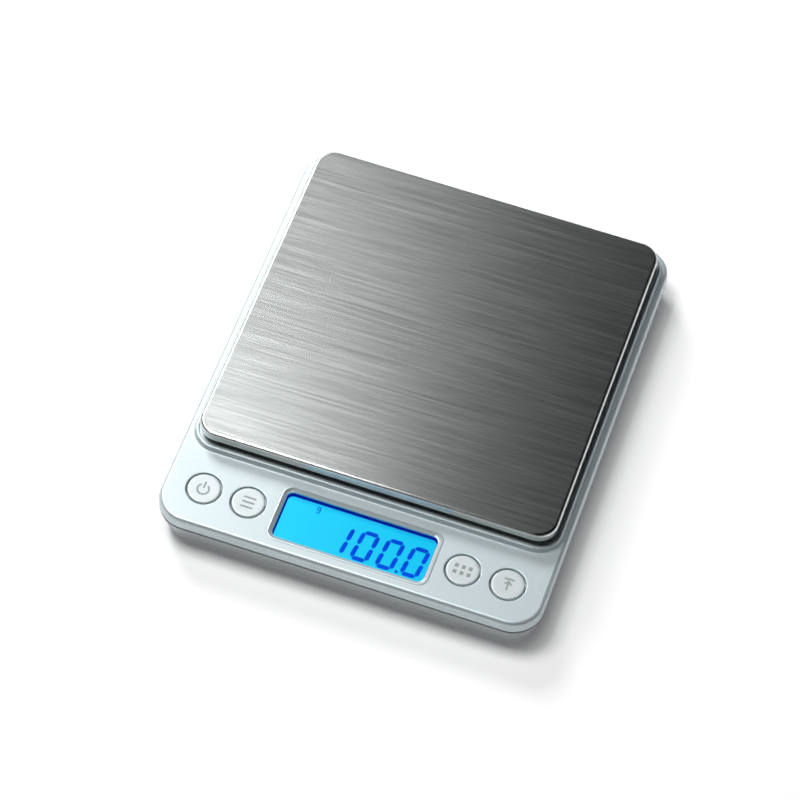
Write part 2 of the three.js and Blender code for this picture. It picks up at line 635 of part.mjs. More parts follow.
function lead(points, radius) {
  const route = new THREE.CatmullRomCurve3(points.map((point) => new THREE.Vector3(...point)));
  const section = new THREE.Shape().absarc(0, 0, radius, 0, Math.PI * 2);
  return new THREE.ExtrudeGeometry(section, {
    steps: 28, curveSegments: WIRE_STEPS, bevelEnabled: false, extrudePath: route,
  });
}

add('battery_lead_black', lead([
  [-29, CELL_Y[0], 11.6], [-31.5, 38.5, 11.2], [-36, 33, 7.5], [-37, 12, 4.4], [-36, -20, 4.4],
  [-34.4, -32, 7.2], [-34, -37, 8.2], [-34, -40, 8.1],
], 0.5), BLACK_WIRE);
add('battery_lead_red', lead([
  [-29, CELL_Y[1], 11.6], [-32, 49.3, 11.2], [-39, 41, 7.5], [-40, 12, 4.4], [-39, -20, 4.4],
  [-37.4, -32, 7.2], [-37, -37, 8.2], [-37, -40, 8.1],
], 0.5), RED_WIRE);
add('load_cell_lead', lead([
  [2, 4.2, 8.1], [4, 1.5, 7.4], [10, -6, 4.6], [24, -18, 4.6], [32, -29, 6.4], [34, -36, 8.6],
  [34, -40, 8.4],
], 0.75), GREY_WIRE);

export default scale;
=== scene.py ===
import math

import bmesh
import bpy
from mathutils import Matrix, Vector


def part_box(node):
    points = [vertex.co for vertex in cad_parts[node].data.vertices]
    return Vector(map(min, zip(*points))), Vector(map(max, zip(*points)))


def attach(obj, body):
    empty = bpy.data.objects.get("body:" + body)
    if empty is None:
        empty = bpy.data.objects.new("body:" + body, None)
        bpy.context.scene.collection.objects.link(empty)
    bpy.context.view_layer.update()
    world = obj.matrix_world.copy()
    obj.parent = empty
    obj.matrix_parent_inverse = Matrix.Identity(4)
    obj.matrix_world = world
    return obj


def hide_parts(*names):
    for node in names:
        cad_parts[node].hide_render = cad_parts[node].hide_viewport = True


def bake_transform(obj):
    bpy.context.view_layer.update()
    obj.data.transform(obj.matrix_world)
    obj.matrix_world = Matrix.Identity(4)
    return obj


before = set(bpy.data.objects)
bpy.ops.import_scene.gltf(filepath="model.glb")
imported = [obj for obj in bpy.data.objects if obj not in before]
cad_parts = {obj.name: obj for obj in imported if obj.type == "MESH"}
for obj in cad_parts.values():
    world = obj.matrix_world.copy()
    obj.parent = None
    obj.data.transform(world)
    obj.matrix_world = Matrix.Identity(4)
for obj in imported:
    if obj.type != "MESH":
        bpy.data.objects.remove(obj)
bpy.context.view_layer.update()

bl_info = {
    "name": "Digital Gram Scale",
    "version": (1, 0, 0),
    "blender": (4, 5, 0),
    "location": "View3D > Sidebar > Gram Scale",
    "description": "Builds a small digital gram scale with a brushed pan around its packed frame",
    "category": "Object",
}

MM = 0.001
SMOOTH_UP_TO = 32       # degrees between two faces that still shade as one
BASE = "base"
PLATFORM = "platform"
BENDING = "bends with the load cell, from the base to the platform"
BUTTONS = ("power", "mode", "count", "tare")
CORNERS = ("front_left", "front_right", "back_left", "back_right")

# Places that come from the frame, in metres.
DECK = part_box("button_power")[1].z
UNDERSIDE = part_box("bottom_case")[0].z
CASE_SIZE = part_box("top_case")[1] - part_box("top_case")[0]
PAN_LOW, PAN_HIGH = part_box("weighing_pan")
PAN_SIZE = PAN_HIGH.x - PAN_LOW.x
PAN_Y = (PAN_LOW.y + PAN_HIGH.y) / 2
LENS_LOW, LENS_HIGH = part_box("display_window")
WINDOW_Y = (LENS_LOW.y + LENS_HIGH.y) / 2

# The load cell's two joined bores: their radius, and how far they lie from its middle.
BEAM_BORE = 2.3 * MM
BEAM_BORE_AT = 5 * MM


def middle(node):
    low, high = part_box(node)
    return (low + high) / 2


# ------------------------------------------------------------------ sizes and colours

def length(name, description, default):
    return bpy.props.FloatProperty(
        name=name, description=description, default=default, unit="LENGTH", precision=5)


def colour(name, description, default):
    return bpy.props.FloatVectorProperty(
        name=name, description=description, default=default, subtype="COLOR", size=3, min=0, max=1)


class ScaleSizes(bpy.types.PropertyGroup):
    case_corner: length("Case corner", "Radius of the case's corners from above", 8.5 * MM)
    case_wall: length("Case wall", "Thickness of the two shells", 1.8 * MM)
    case_lean: length("Case lean", "How far the lower shell leans in towards its foot", 2 * MM)
    deck_edge: length("Deck edge", "Radius of the deck's outer edge", 1.25 * MM)
    parting: length("Parting line", "Height of the groove between the shells", 9 * MM)
    seam: length("Seam", "Width of the groove between the shells", 0.42 * MM)
    rim_height: length("Rim height", "Height of the lip round the pan above the deck", 1.4 * MM)
    rim_foot: length("Rim foot", "Size of the lip's foot", 102.5 * MM)
    rim_inside: length("Rim inside", "Size of the well inside the lip", 100.1 * MM)
    pan_corner: length("Pan corner", "Radius of the pan's corners from above", 5.5 * MM)
    pan_bend: length("Pan bend", "Outer radius of the pan's turned-down edge", 0.95 * MM)
    pan_sheet: length("Pan sheet", "Thickness of the pan's sheet", 0.5 * MM)
    window_width: length("Window width", "Clear width of the display window", 41.9 * MM)
    window_length: length("Window height", "Clear height of the display window", 14.4 * MM)
    window_bevel: length("Window bevel", "Width of the bevel round the window", 0.85 * MM)
    digit_height: length("Digit height", "Height of the display's digits", 9.5 * MM)
    digit_width: length("Digit width", "Width of the display's digits", 5.15 * MM)
    digit_pitch: length("Digit pitch", "Distance from digit to digit", 6.93 * MM)
    segment: length("Segment width", "Width of a digit's strokes", 1.2 * MM)
    segment_gap: length("Segment gap", "Gap between a digit's strokes", 0.2 * MM)


class ScaleColours(bpy.types.PropertyGroup):
    paint: colour("Silver paint", "Paint of the upper shell", (0.70, 0.80, 0.825))
    lower_paint: colour("Lower shell paint", "Paint of the lower shell and door", (0.63, 0.67, 0.685))
    cap: colour("Button caps", "Plastic of the button caps", (0.75, 0.82, 0.83))
    legend: colour("Button marks", "Print on the button caps", (0.40, 0.43, 0.44))
    steel: colour("Brushed steel", "Stainless sheet of the pan", (0.68, 0.71, 0.70))
    glow_left: colour("Backlight, left", "Lit display at its left end", (0.022, 0.66, 0.97))
    glow_right: colour("Backlight, right", "Lit display at its right end", (0.008, 0.54, 0.84))
    ink: colour("Lit segments", "Dark segments on the lit display", (0.0, 0.055, 0.68))
    floor: colour("Floor", "Table top that the scale stands on", (0.95, 0.95, 0.95))


def sizes():
    return bpy.context.scene.gram_scale_sizes


def colours():
    return bpy.context.scene.gram_scale_colours


# ------------------------------------------------------------------ meshes

def mesh_object(name, points, faces):
    mesh = bpy.data.meshes.new(name)
    mesh.from_pydata([tuple(p) for p in points], [], faces)
    mesh.validate()
    made = bpy.data.objects.new(name, mesh)
    bpy.context.scene.collection.objects.link(made)
    return made


def rounded_ring(width, depth, radius, z, centre, steps):
    """Points of a rectangle with round corners, anticlockwise from above."""
    points = []
    signs = ((1, 1), (-1, 1), (-1, -1), (1, -1))
    for corner, (sx, sy) in enumerate(signs):
        x = centre[0] + sx * (width / 2 - radius)
        y = centre[1] + sy * (depth / 2 - radius)
        for step in range(steps + 1):
            angle = math.pi / 2 * (corner + step / steps)
            points.append(Vector((x + radius * math.cos(angle), y + radius * math.sin(angle), z)))
    return points


def loft(name, rings):
    """A closed solid through rings of equally many points, from the first to the last."""
    count = len(rings[0])
    points = [p for ring in rings for p in ring]
    faces = [tuple(reversed(range(count)))]
    for level in range(len(rings) - 1):
        low, high = level * count, (level + 1) * count
        for i in range(count):
            j = (i + 1) % count
            faces.append((low + i, low + j, high + j, high + i))
    last = (len(rings) - 1) * count
    faces.append(tuple(range(last, last + count)))
    return mesh_object(name, points, faces)


def slab(name, width, depth, corner, profile, centre=(0, 0), steps=16):
    """A loft of rounded rectangles: profile lists (inset, z), and a negative inset grows."""
    rings = []
    for inset, z in profile:
        radius = max(corner - inset, 0.05 * MM)
        rings.append(rounded_ring(
            width - 2 * inset, depth - 2 * inset, radius, z, centre, steps))
    return loft(name, rings)


def top_edge(z, radius, inset=0, steps=8):
    """Profile points of a round upper edge."""
    turns = [math.pi / 2 * i / steps for i in range(steps + 1)]
    return [(inset + radius * (1 - math.cos(a)), z - radius * (1 - math.sin(a))) for a in turns]


def bottom_edge(z, radius, inset=0, steps=8):
    """Profile points of a round lower edge."""
    return [(i, 2 * z - up) for i, up in reversed(top_edge(z, radius, inset, steps))]


def lathe(name, profile, centre, steps=32):
    """A solid of revolution about Z: profile lists (radius, z) upwards, ends on the axis."""
    points, rings = [], []
    for radius, z in profile:
        if radius == 0:
            rings.append([len(points)])
            points.append((centre[0], centre[1], z))
            continue
        rings.append(list(range(len(points), len(points) + steps)))
        for i in range(steps):
            angle = 2 * math.pi * i / steps
            points.append((centre[0] + radius * math.cos(angle),
                           centre[1] + radius * math.sin(angle), z))
    faces = []
    for low, high in zip(rings, rings[1:]):
        for i in range(steps):
            j = (i + 1) % steps
            if len(low) == 1:
                faces.append((low[0], high[j], high[i]))
            elif len(high) == 1:
                faces.append((low[i], low[j], high[0]))
            else:
                faces.append((low[i], low[j], high[j], high[i]))
    return mesh_object(name, points, faces)


def post(name, x, y, radius, bottom, top, steps=24):
    return lathe(name, [(0, bottom), (radius, bottom), (radius, top), (0, top)], (x, y), steps)


def block(name, low, high):
    (x0, y0, z0), (x1, y1, z1) = low, high
    points = [(x, y, z) for z in (z0, z1) for x, y in ((x0, y0), (x1, y0), (x1, y1), (x0, y1))]
    faces = [(3, 2, 1, 0), (4, 5, 6, 7), (0, 1, 5, 4), (1, 2, 6, 5), (2, 3, 7, 6), (3, 0, 4, 7)]
    return mesh_object(name, points, faces)


def evaluated_mesh(thing):
    """The object's mesh with its modifiers applied, as a plain mesh."""
    graph = bpy.context.evaluated_depsgraph_get()
    mesh = bpy.data.meshes.new_from_object(thing.evaluated_get(graph))
    thing.modifiers.clear()
    old = thing.data
    thing.data = mesh
    if old.users == 0:
        bpy.data.meshes.remove(old)
    return thing


def combine(target, tools, operation):
    for tool in tools:
        change = target.modifiers.new("combine", "BOOLEAN")
        change.operation = operation
        change.solver = "MANIFOLD"
        change.object = tool
        evaluated_mesh(target)
        bpy.data.objects.remove(tool)
    return target


def cut(target, *tools):
    return combine(target, tools, "DIFFERENCE")


def join(target, *tools):
    return combine(target, tools, "UNION")


def soft_edges(piece, width, segments=2):
    change = piece.modifiers.new("soft_edges", "BEVEL")
    change.width = width
    change.segments = segments
    change.limit_method = "ANGLE"
    change.angle_limit = math.radians(35)
    return evaluated_mesh(piece)


def soft_block(name, low, high, width, segments=2):
    return soft_edges(block(name, low, high), width, segments)


def finish_piece(piece, body, finish, nodes=(), smooth=SMOOTH_UP_TO):
    """Gives a piece its material, shading and place in the assembly."""
    piece.data.materials.clear()
    piece.data.materials.append(FINISHES[finish])
    piece.data.shade_smooth()
    piece.data.set_sharp_from_angle(angle=math.radians(smooth))
    even = piece.modifiers.new("even_shading", "WEIGHTED_NORMAL")
    even.keep_sharp = True
    if body == BENDING:
        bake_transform(piece)
    else:
        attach(piece, body)
    SLOTS[finish]
    if nodes:
        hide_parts(*nodes)
    return piece


# ------------------------------------------------------------------ shader trees

class Tree:
    """A node tree, with short ways to add nodes and link them."""

    def __init__(self, tree):
        self.tree = tree

    def add(self, kind, inputs=None, **settings):
        node = self.tree.nodes.new(kind)
        for key, value in settings.items():
            setattr(node, key, value)
        for key, value in (inputs or {}).items():
            self.feed(node.inputs[key], value)
        return node

    def feed(self, socket, value):
        for source in value if isinstance(value, list) else [value]:
            if isinstance(source, bpy.types.NodeSocket):
                self.tree.links.new(source, socket)
            else:
                socket.default_value = source

    def math(self, operation, first, second=0.0):
        return self.add("ShaderNodeMath", {0: first, 1: second}, operation=operation).outputs[0]


class Look(Tree):
    """A material's node tree."""

    def __init__(self, name):
        self.material = bpy.data.materials.new(name)
        self.material.use_nodes = True
        super().__init__(self.material.node_tree)
        self.shader = self.tree.nodes["Principled BSDF"]
        self.output = self.tree.nodes["Material Output"]
        self.place = self.add("ShaderNodeTexCoord").outputs["Object"]

    def set(self, **inputs):
        for key, value in inputs.items():
            self.feed(self.shader.inputs[key.replace("_", " ")], value)

    def stretched(self, scale, turn=(0, 0, 0), place=None):
        return self.add("ShaderNodeMapping", {
            "Vector": place or self.place, "Scale": scale, "Rotation": turn}).outputs["Vector"]

    def noise(self, scale, detail=2, roughness=0.5, vector=None):
        node = self.add("ShaderNodeTexNoise", {
            "Vector": vector or self.place, "Scale": scale, "Detail": detail, "Roughness": roughness})
        return node.outputs["Fac"]

    def span(self, value, low, high, start=0.0, end=1.0):
        """Maps value from start..end to low..high."""
        node = self.add("ShaderNodeMapRange", {
            "Value": value, "From Min": start, "From Max": end, "To Min": low, "To Max": high})
        return node.outputs["Result"]

    def mix(self, factor, first, second):
        node = self.add("ShaderNodeMix", data_type="RGBA")
        for socket, value in (("Factor", factor), (6, first), (7, second)):
            self.feed(node.inputs[socket], value)
        return node.outputs[2]

    def bump(self, height, distance, strength):
        return self.add("ShaderNodeBump", {
            "Height": height, "Distance": distance, "Strength": strength}).outputs["Normal"]


def rgba(colour_value, factor=1.0):
    return (*[min(1.0, c * factor) for c in colour_value], 1.0)


def silver_paint(name, tint, metallic=0.45, roughness=0.42):
    """Fine metallic paint: flakes, a slow unevenness and faint handling marks."""
    look = Look(name)
    flakes = look.noise(5200, detail=1)
    cloud = look.noise(38, detail=3)
    marks = look.noise(210, detail=4, roughness=0.7, vector=look.stretched((1, 0.35, 1), (0, 0, 0.5)))
    base = look.mix(look.span(flakes, 0, 1, 0.35, 0.65), rgba(tint, 0.95), rgba(tint, 1.04))
    base = look.mix(look.span(cloud, 0, 0.5, 0.3, 0.7), base, rgba(tint, 0.97))
    worn = look.span(marks, 0, 0.09, 0.6, 0.78)
    grain = look.bump(look.noise(2600, detail=2), 0.012 * MM, 0.5)
    rough = look.math("ADD", look.span(cloud, roughness - 0.03, roughness + 0.03), worn)
    look.set(Base_Color=base, Metallic=metallic, Roughness=rough, Normal=grain)
    look.set(Coat_Weight=0.12, Coat_Roughness=0.25)
    return look.material


def brushed_steel(name, tint):
    """Stainless sheet brushed along X: fine lines in the colour, the gloss and the surface."""
    look = Look(name)
    sheet = look.add("ShaderNodeUVMap", uv_map="brushing").outputs["UV"]

    def lines(scale, detail, depth, start, end):
        noise = look.noise(1, detail, 0.65, look.stretched(scale, place=sheet))
        return look.span(noise, -depth, depth, start, end)

    fine, coarse = 0.5, 0.15
    deepest = fine + coarse
    both = look.math("ADD", lines((32, 1500, 1), 3, fine, 0.35, 0.65),
                     lines((10, 900, 1), 1, coarse, 0.3, 0.7))
    smudge = look.noise(26, detail=3)
    base = look.mix(look.span(both, 0, 1, -deepest, deepest), rgba(tint, 0.8), rgba(tint, 1.2))
    base = look.mix(look.span(smudge, 0, 0.25, 0.45, 0.75), base, rgba(tint, 0.95))
    tangent = look.add("ShaderNodeTangent", direction_type="UV_MAP", uv_map="brushing")
    look.set(Base_Color=base, Metallic=1.0, Roughness=look.span(both, 0.246, 0.266, -deepest, deepest),
             Normal=look.bump(both, 0.002 * MM, 0.2), Tangent=tangent.outputs["Tangent"])
    look.set(Anisotropic=0.9, Anisotropic_Rotation=0.25)
    return look.material


def moulded(name, tint, roughness=0.45, grain=0.02, grain_scale=1700):
    """Moulded plastic with a fine spark-eroded texture."""
    look = Look(name)
    texture = look.noise(grain_scale, detail=3)
    cloud = look.noise(60, detail=3)
    base = look.mix(look.span(cloud, 0, 1, 0.3, 0.7), rgba(tint, 0.94), rgba(tint, 1.03))
    look.set(Base_Color=base,
             Roughness=look.span(texture, roughness - 0.04, roughness + 0.06, 0.3, 0.7),
             Normal=look.bump(texture, grain * MM, 0.6))
    return look.material


def metal(name, tint, roughness=0.3, streak=(1, 1, 1)):
    """Bare or plated metal with faint tool lines and stains."""
    look = Look(name)
    lines = look.noise(900, detail=3, roughness=0.7, vector=look.stretched(streak))
    stain = look.noise(150, detail=3)
    base = look.mix(look.span(stain, 0, 0.6, 0.4, 0.75), rgba(tint), rgba(tint, 0.86))
    look.set(Base_Color=base, Metallic=1.0,
             Roughness=look.span(lines, roughness - 0.06, roughness + 0.08, 0.3, 0.7),
             Normal=look.bump(lines, 0.006 * MM, 0.5))
    return look.material


def clear_acrylic(name):
    look = Look(name)
    smear = look.noise(90, detail=3)
    look.set(Base_Color=(0.97, 0.99, 1, 1), Roughness=look.span(smear, 0.02, 0.06, 0.4, 0.8))
    look.set(Transmission_Weight=1.0, IOR=1.15)
    return look.material


def lit_display(name, left, right):
    """The backlit field: brighter at its left end, with a soft dark edge of painted shade at the back, where
    the window's back wall shades it.
    """
    look = Look(name)
    split = look.add("ShaderNodeSeparateXYZ", {"Vector": look.place})
    half = sizes().window_width / 2
    across = look.span(split.outputs["X"], 0, 1, -half, half)
    cloud = look.span(look.noise(140, detail=2), -0.05, 0.05)
    glow = look.mix(look.math("ADD", across, cloud), rgba(left), rgba(right))
    back = WINDOW_Y + sizes().window_length / 2
    # Painted shade: the glow turns navy towards the back edge, standing in for the shade of the window's back
    # wall.
    depth = look.span(split.outputs["Y"], 0, 0.55, back - 1.6 * MM, back + 0.4 * MM)
    glow = look.mix(depth, glow, (0.0, 0.2, 0.75, 1))
    look.set(Base_Color=(0.005, 0.05, 0.08, 1), Roughness=0.3, Emission_Color=glow)
    look.set(Emission_Strength=1.0, Specular_IOR_Level=0.05)
    return look.material


def glowing_ink(name, tint):
    look = Look(name)
    cloud = look.noise(500, detail=2)
    look.set(Base_Color=(0.0, 0.02, 0.1, 1), Roughness=0.4,
             Emission_Color=look.mix(look.span(cloud, 0, 1, 0.3, 0.7), rgba(tint, 0.85), rgba(tint, 1.1)))
    look.set(Emission_Strength=1.0, Specular_IOR_Level=0.05)
    return look.material


def solder_mask(name):
    """Green circuit board with darker bare lanes between its copper areas."""
    look = Look(name)
    lanes = look.add("ShaderNodeTexBrick", {
        "Vector": look.place, "Scale": 260.0, "Mortar Size": 0.035, "Color1": (0.012, 0.16, 0.05, 1),
        "Color2": (0.016, 0.2, 0.07, 1), "Mortar": (0.006, 0.07, 0.025, 1)})
    look.set(Base_Color=lanes.outputs["Color"], Roughness=0.4,
             Normal=look.bump(lanes.outputs["Fac"], -0.03 * MM, 0.8))
    return look.material


def cell_label(name, side):
    """A cell's plain foil: a dark sleeve with a copper-coloured band towards its positive end."""
    look = Look(name)
    band, body = (0.62, 0.44, 0.2), (0.02, 0.05, 0.16)
    split = look.add("ShaderNodeSeparateXYZ", {"Vector": look.place})
    stripe = look.math("GREATER_THAN", look.math("MULTIPLY", split.outputs["X"], side), 12 * MM)
    shade = look.noise(300, detail=2)
    sleeve = look.mix(look.span(shade, 0, 1, 0.3, 0.7), rgba(body, 0.9), rgba(body, 1.1))
    look.set(Base_Color=look.mix(stripe, rgba(band), sleeve), Metallic=0.7,
             Roughness=look.span(shade, 0.25, 0.34))
    return look.material


class Made:
    """Things that are made once, when they are first asked for."""

    def __init__(self, recipes):
        self.recipes = recipes
        self.things = {}

    def __getitem__(self, name):
        if name not in self.things:
            self.things[name] = self.recipes[name]()
        return self.things[name]


FINISHES = Made({
    "paint": lambda: silver_paint("silver_paint", colours().paint),
    "grey_paint": lambda: silver_paint("silver_grey", colours().lower_paint, 0.2, 0.48),
    "cap": lambda: silver_paint("button_plastic", colours().cap, metallic=0.35, roughness=0.46),
    "legend": lambda: moulded("button_print", colours().legend, 0.5, 0.004),
    "steel": lambda: brushed_steel("brushed_stainless", colours().steel),
    "lens": lambda: clear_acrylic("clear_acrylic"),
    "glow": lambda: lit_display("lit_display", colours().glow_left, colours().glow_right),
    "ink": lambda: glowing_ink("display_ink", colours().ink),
    "faint_ink": lambda: glowing_ink("faint_ink", (0.0, 0.13, 0.7)),
    "silicone": lambda: moulded("white_silicone", (0.82, 0.82, 0.8), 0.35, 0.01, 300),
    # The gasket's navy glow is painted light: it stands in for the display's light on the shaded black
    # rubber.
    "gasket": lambda: glowing_ink("lit_gasket", (0.0, 0.006, 0.26)),
    "rubber": lambda: moulded("black_rubber", (0.022, 0.022, 0.024), 0.78, 0.03, 900),
    "black": lambda: moulded("black_plastic", (0.018, 0.018, 0.02), 0.42, 0.015),
    "white": lambda: moulded("white_plastic", (0.78, 0.78, 0.74), 0.45, 0.01),
    "carrier": lambda: moulded("carrier_plastic", (0.02, 0.02, 0.022), 0.6, 0.03),
    "tape": lambda: moulded("foam_tape", (0.86, 0.84, 0.78), 0.9, 0.05, 1200),
    "board": lambda: solder_mask("solder_mask"),
    "alloy": lambda: metal("aluminium_alloy", (0.74, 0.75, 0.77), 0.34, (0.1, 1, 1)),
    "zinc": lambda: metal("zinc_plate", (0.66, 0.67, 0.68), 0.28),
    "label": lambda: cell_label("cell_label", 1),
    "label_turned": lambda: cell_label("cell_label_turned", -1),
    "resin": lambda: moulded("potting_resin", (0.012, 0.012, 0.013), 0.22, 0.02, 250),
    "red": lambda: moulded("red_insulation", (0.45, 0.02, 0.015), 0.45, 0.01),
    "dark": lambda: moulded("black_insulation", (0.015, 0.015, 0.015), 0.45, 0.01),
    "grey": lambda: moulded("grey_insulation", (0.28, 0.29, 0.3), 0.5, 0.01),
})

# The CAD part's material slot that goes with each finish; finish_piece looks it up and sets nothing from it.
SLOTS = {
    "paint": "silver_paint", "grey_paint": "silver_grey", "cap": "button_plastic",
    "legend": "button_plastic", "steel": "brushed_stainless", "lens": "clear_lens", "glow": "lcd_blue",
    "ink": "lcd_blue", "faint_ink": "lcd_blue", "silicone": "white_plastic", "gasket": "rubber_black",
    "rubber": "rubber_black", "black": "black_plastic", "white": "white_plastic",
    "carrier": "carrier_black", "tape": "foam_tape", "board": "board_green", "alloy": "aluminium_alloy",
    "zinc": "zinc_steel", "label": "cell_wrap", "label_turned": "cell_wrap", "resin": "black_plastic",
    "red": "red_wire", "dark": "black_wire", "grey": "grey_wire",
}


# ------------------------------------------------------------------ geometry trees

class Rule(Tree):
    """A geometry tree with named sizes. It ends in realised geometry with one material."""

    def __init__(self, name, **sizes_in):
        super().__init__(bpy.data.node_groups.new(name, "GeometryNodeTree"))
        self.face = self.tree.interface
        self.face.new_socket(name="Points", in_out="INPUT", socket_type="NodeSocketGeometry")
        for label, value in sizes_in.items():
            kind = "NodeSocketInt" if isinstance(value, int) else "NodeSocketFloat"
            self.face.new_socket(name=label, in_out="INPUT", socket_type=kind).default_value = value
        self.face.new_socket(name="Material", in_out="INPUT", socket_type="NodeSocketMaterial")
        self.face.new_socket(name="Geometry", in_out="OUTPUT", socket_type="NodeSocketGeometry")
        self.given = self.add("NodeGroupInput").outputs

    def vector(self, x=0.0, y=0.0, z=0.0):
        return self.add("ShaderNodeCombineXYZ", {"X": x, "Y": y, "Z": z}).outputs[0]

    def cuboid(self, size, middle_at):
        cube = self.add("GeometryNodeMeshCube", {"Size": size}).outputs["Mesh"]
        return self.add("GeometryNodeTransform", {"Geometry": cube, "Translation": middle_at}).outputs[0]

    def boolean(self, operation, first, others):
        inputs = {"Mesh 1": first, "Mesh 2": others} if operation == "DIFFERENCE" else {
            "Mesh 2": [first, *others]}
        return self.add("GeometryNodeMeshBoolean", inputs, operation=operation,
                        solver="MANIFOLD").outputs["Mesh"]

    def turned(self, sides, radius, stages):
        """A disc of that radius, extruded upwards in stages of (rise, share of the last radius)."""
        disc = self.add("GeometryNodeMeshCircle", {"Vertices": sides, "Radius": radius},
                        fill_type="NGON").outputs["Mesh"]
        shape, top = disc, True
        for rise, share in stages:
            out = self.add("GeometryNodeExtrudeMesh", {
                "Mesh": shape, "Selection": top, "Offset Scale": rise, "Individual": False})
            top = out.outputs["Top"]
            shape = self.add("GeometryNodeScaleElements", {
                "Geometry": out.outputs["Mesh"], "Selection": top, "Scale": share}).outputs[0]
        under = self.add("GeometryNodeFlipFaces", {"Mesh": disc}).outputs[0]
        both = self.add("GeometryNodeJoinGeometry", {"Geometry": [shape, under]}).outputs[0]
        return self.add("GeometryNodeMergeByDistance", {"Geometry": both, "Distance": 0.0005 * MM}).outputs[0]

    def on_points(self, shape, **inputs):
        return self.add("GeometryNodeInstanceOnPoints", {
            "Points": self.given["Points"], "Instance": shape, **inputs}).outputs[0]

    def close(self, shape):
        real = self.add("GeometryNodeRealizeInstances", {"Geometry": shape}).outputs[0]
        done = self.add("GeometryNodeSetMaterial", {
            "Geometry": real, "Material": self.given["Material"]}).outputs[0]
        self.add("NodeGroupOutput", {"Geometry": done})
        return self


def grow(name, rule_name, points, finish, attributes=None, **values):
    """Runs a rule on points and returns what it makes as a plain mesh."""
    rule = RULES[rule_name]
    piece = mesh_object(name, points, [])
    for label, numbers in (attributes or {}).items():
        piece.data.attributes.new(label, "FLOAT", "POINT").data.foreach_set("value", numbers)
    change = piece.modifiers.new("rule", "NODES")
    change.node_group = rule.tree
    sockets = {s.name: s.identifier for s in rule.face.items_tree if s.in_out == "INPUT"}
    for label, value in values.items():
        change[sockets[label]] = value
    change[sockets["Material"]] = FINISHES[finish]
    return evaluated_mesh(piece)


def screw_rule():
    """Cross-recessed self-tapping screws that stand on their heads, one on each point."""
    rule = Rule("self_tapping_screws", Head=2.4 * MM, Thickness=1.5 * MM, Shank=1.1 * MM, Length=8 * MM,
                Pitch=0.9 * MM, Thread=0.22 * MM, Recess=0.55 * MM, Turn=0.0)
    head, thick, shank, long = (rule.given[n] for n in ("Head", "Thickness", "Shank", "Length"))
    half = rule.math("MULTIPLY", thick, 0.5)
    plain = rule.math("SUBTRACT", long, rule.math("ADD", thick, shank))
    core = rule.math("MULTIPLY", shank, 0.86)
    body = rule.turned(36, rule.math("MULTIPLY", head, 0.72), [
        (rule.math("MULTIPLY", thick, 0.16), 1.19),
        (rule.math("MULTIPLY", thick, 0.3), 1.167),
        (half, 1.0),
        (0.0, rule.math("DIVIDE", core, head)),
        (plain, 1.0),
        (shank, 0.12),
    ])
    turns = rule.math("DIVIDE", plain, rule.given["Pitch"])
    path = rule.add("GeometryNodeCurveSpiral", {
        "Resolution": 20, "Rotations": turns, "Start Radius": core, "End Radius": core,
        "Height": plain, "Reverse": False}).outputs[0]
    ridge = rule.add("GeometryNodeCurvePrimitiveCircle", {
        "Resolution": 3, "Radius": rule.given["Thread"]}).outputs[0]
    thread = rule.add("GeometryNodeCurveToMesh", {
        "Curve": path, "Profile Curve": ridge, "Fill Caps": True}).outputs[0]
    thread = rule.add("GeometryNodeTransform", {
        "Geometry": thread, "Translation": rule.vector(z=rule.math("ADD", thick, 0.1 * MM))}).outputs[0]
    body = rule.boolean("UNION", body, [thread])
    wide = rule.math("MULTIPLY", head, 1.1)
    deep = rule.math("MULTIPLY", thick, 1.1)
    slots = [rule.cuboid(rule.vector(*size), (0, 0, 0)) for size in (
        (wide, rule.given["Recess"], deep), (rule.given["Recess"], wide, deep))]
    body = rule.boolean("DIFFERENCE", body, slots)
    return rule.close(rule.on_points(body, Rotation=rule.vector(x=rule.given["Turn"])))


def stroke_rule():
    """Lit strokes of a display: mitred bars, each with the turn and stretch of its point."""
    rule = Rule("display_strokes", Stroke=1.05 * MM, Reach=4.1 * MM, Thickness=0.03 * MM, Slant=0.115,
                Middle=-53 * MM)
    hexagon = rule.add("GeometryNodeMeshCircle", {"Vertices": 6, "Radius": 1.0}, fill_type="NGON")
    place = rule.add("ShaderNodeSeparateXYZ", {"Vector": rule.add("GeometryNodeInputPosition").outputs[0]})
    half = rule.math("MULTIPLY", rule.given["Stroke"], 0.5)
    aside = rule.math("MULTIPLY", rule.math("DIVIDE", place.outputs["Y"], math.sin(math.pi / 3)), half)
    reach = rule.math("SUBTRACT", rule.math("MULTIPLY", rule.given["Reach"], 0.5),
                      rule.math("ABSOLUTE", aside))
    along = rule.math("MULTIPLY", rule.math("SIGN", place.outputs["X"]), reach)
    bar = rule.add("GeometryNodeSetPosition", {
        "Geometry": hexagon.outputs["Mesh"], "Position": rule.vector(along, aside)}).outputs[0]
    turn, stretch = (rule.add("GeometryNodeInputNamedAttribute", {"Name": n}, data_type="FLOAT").outputs[0]
                     for n in ("turn", "stretch"))
    bars = rule.on_points(bar, Rotation=rule.vector(z=turn), Scale=rule.vector(stretch, 1.0, 1.0))
    flat = rule.add("GeometryNodeRealizeInstances", {"Geometry": bars}).outputs[0]
    lean = rule.math("MULTIPLY", rule.given["Slant"],
                     rule.math("SUBTRACT", place.outputs["Y"], rule.given["Middle"]))
    flat = rule.add("GeometryNodeSetPosition", {"Geometry": flat, "Offset": rule.vector(lean)}).outputs[0]
    raised = rule.add("GeometryNodeExtrudeMesh", {
        "Mesh": flat, "Offset Scale": rule.given["Thickness"], "Individual": False}).outputs["Mesh"]
    under = rule.add("GeometryNodeFlipFaces", {"Mesh": flat}).outputs[0]
    both = rule.add("GeometryNodeJoinGeometry", {"Geometry": [raised, under]}).outputs[0]
    return rule.close(rule.add("GeometryNodeMergeByDistance", {
        "Geometry": both, "Distance": 0.0005 * MM}).outputs[0])


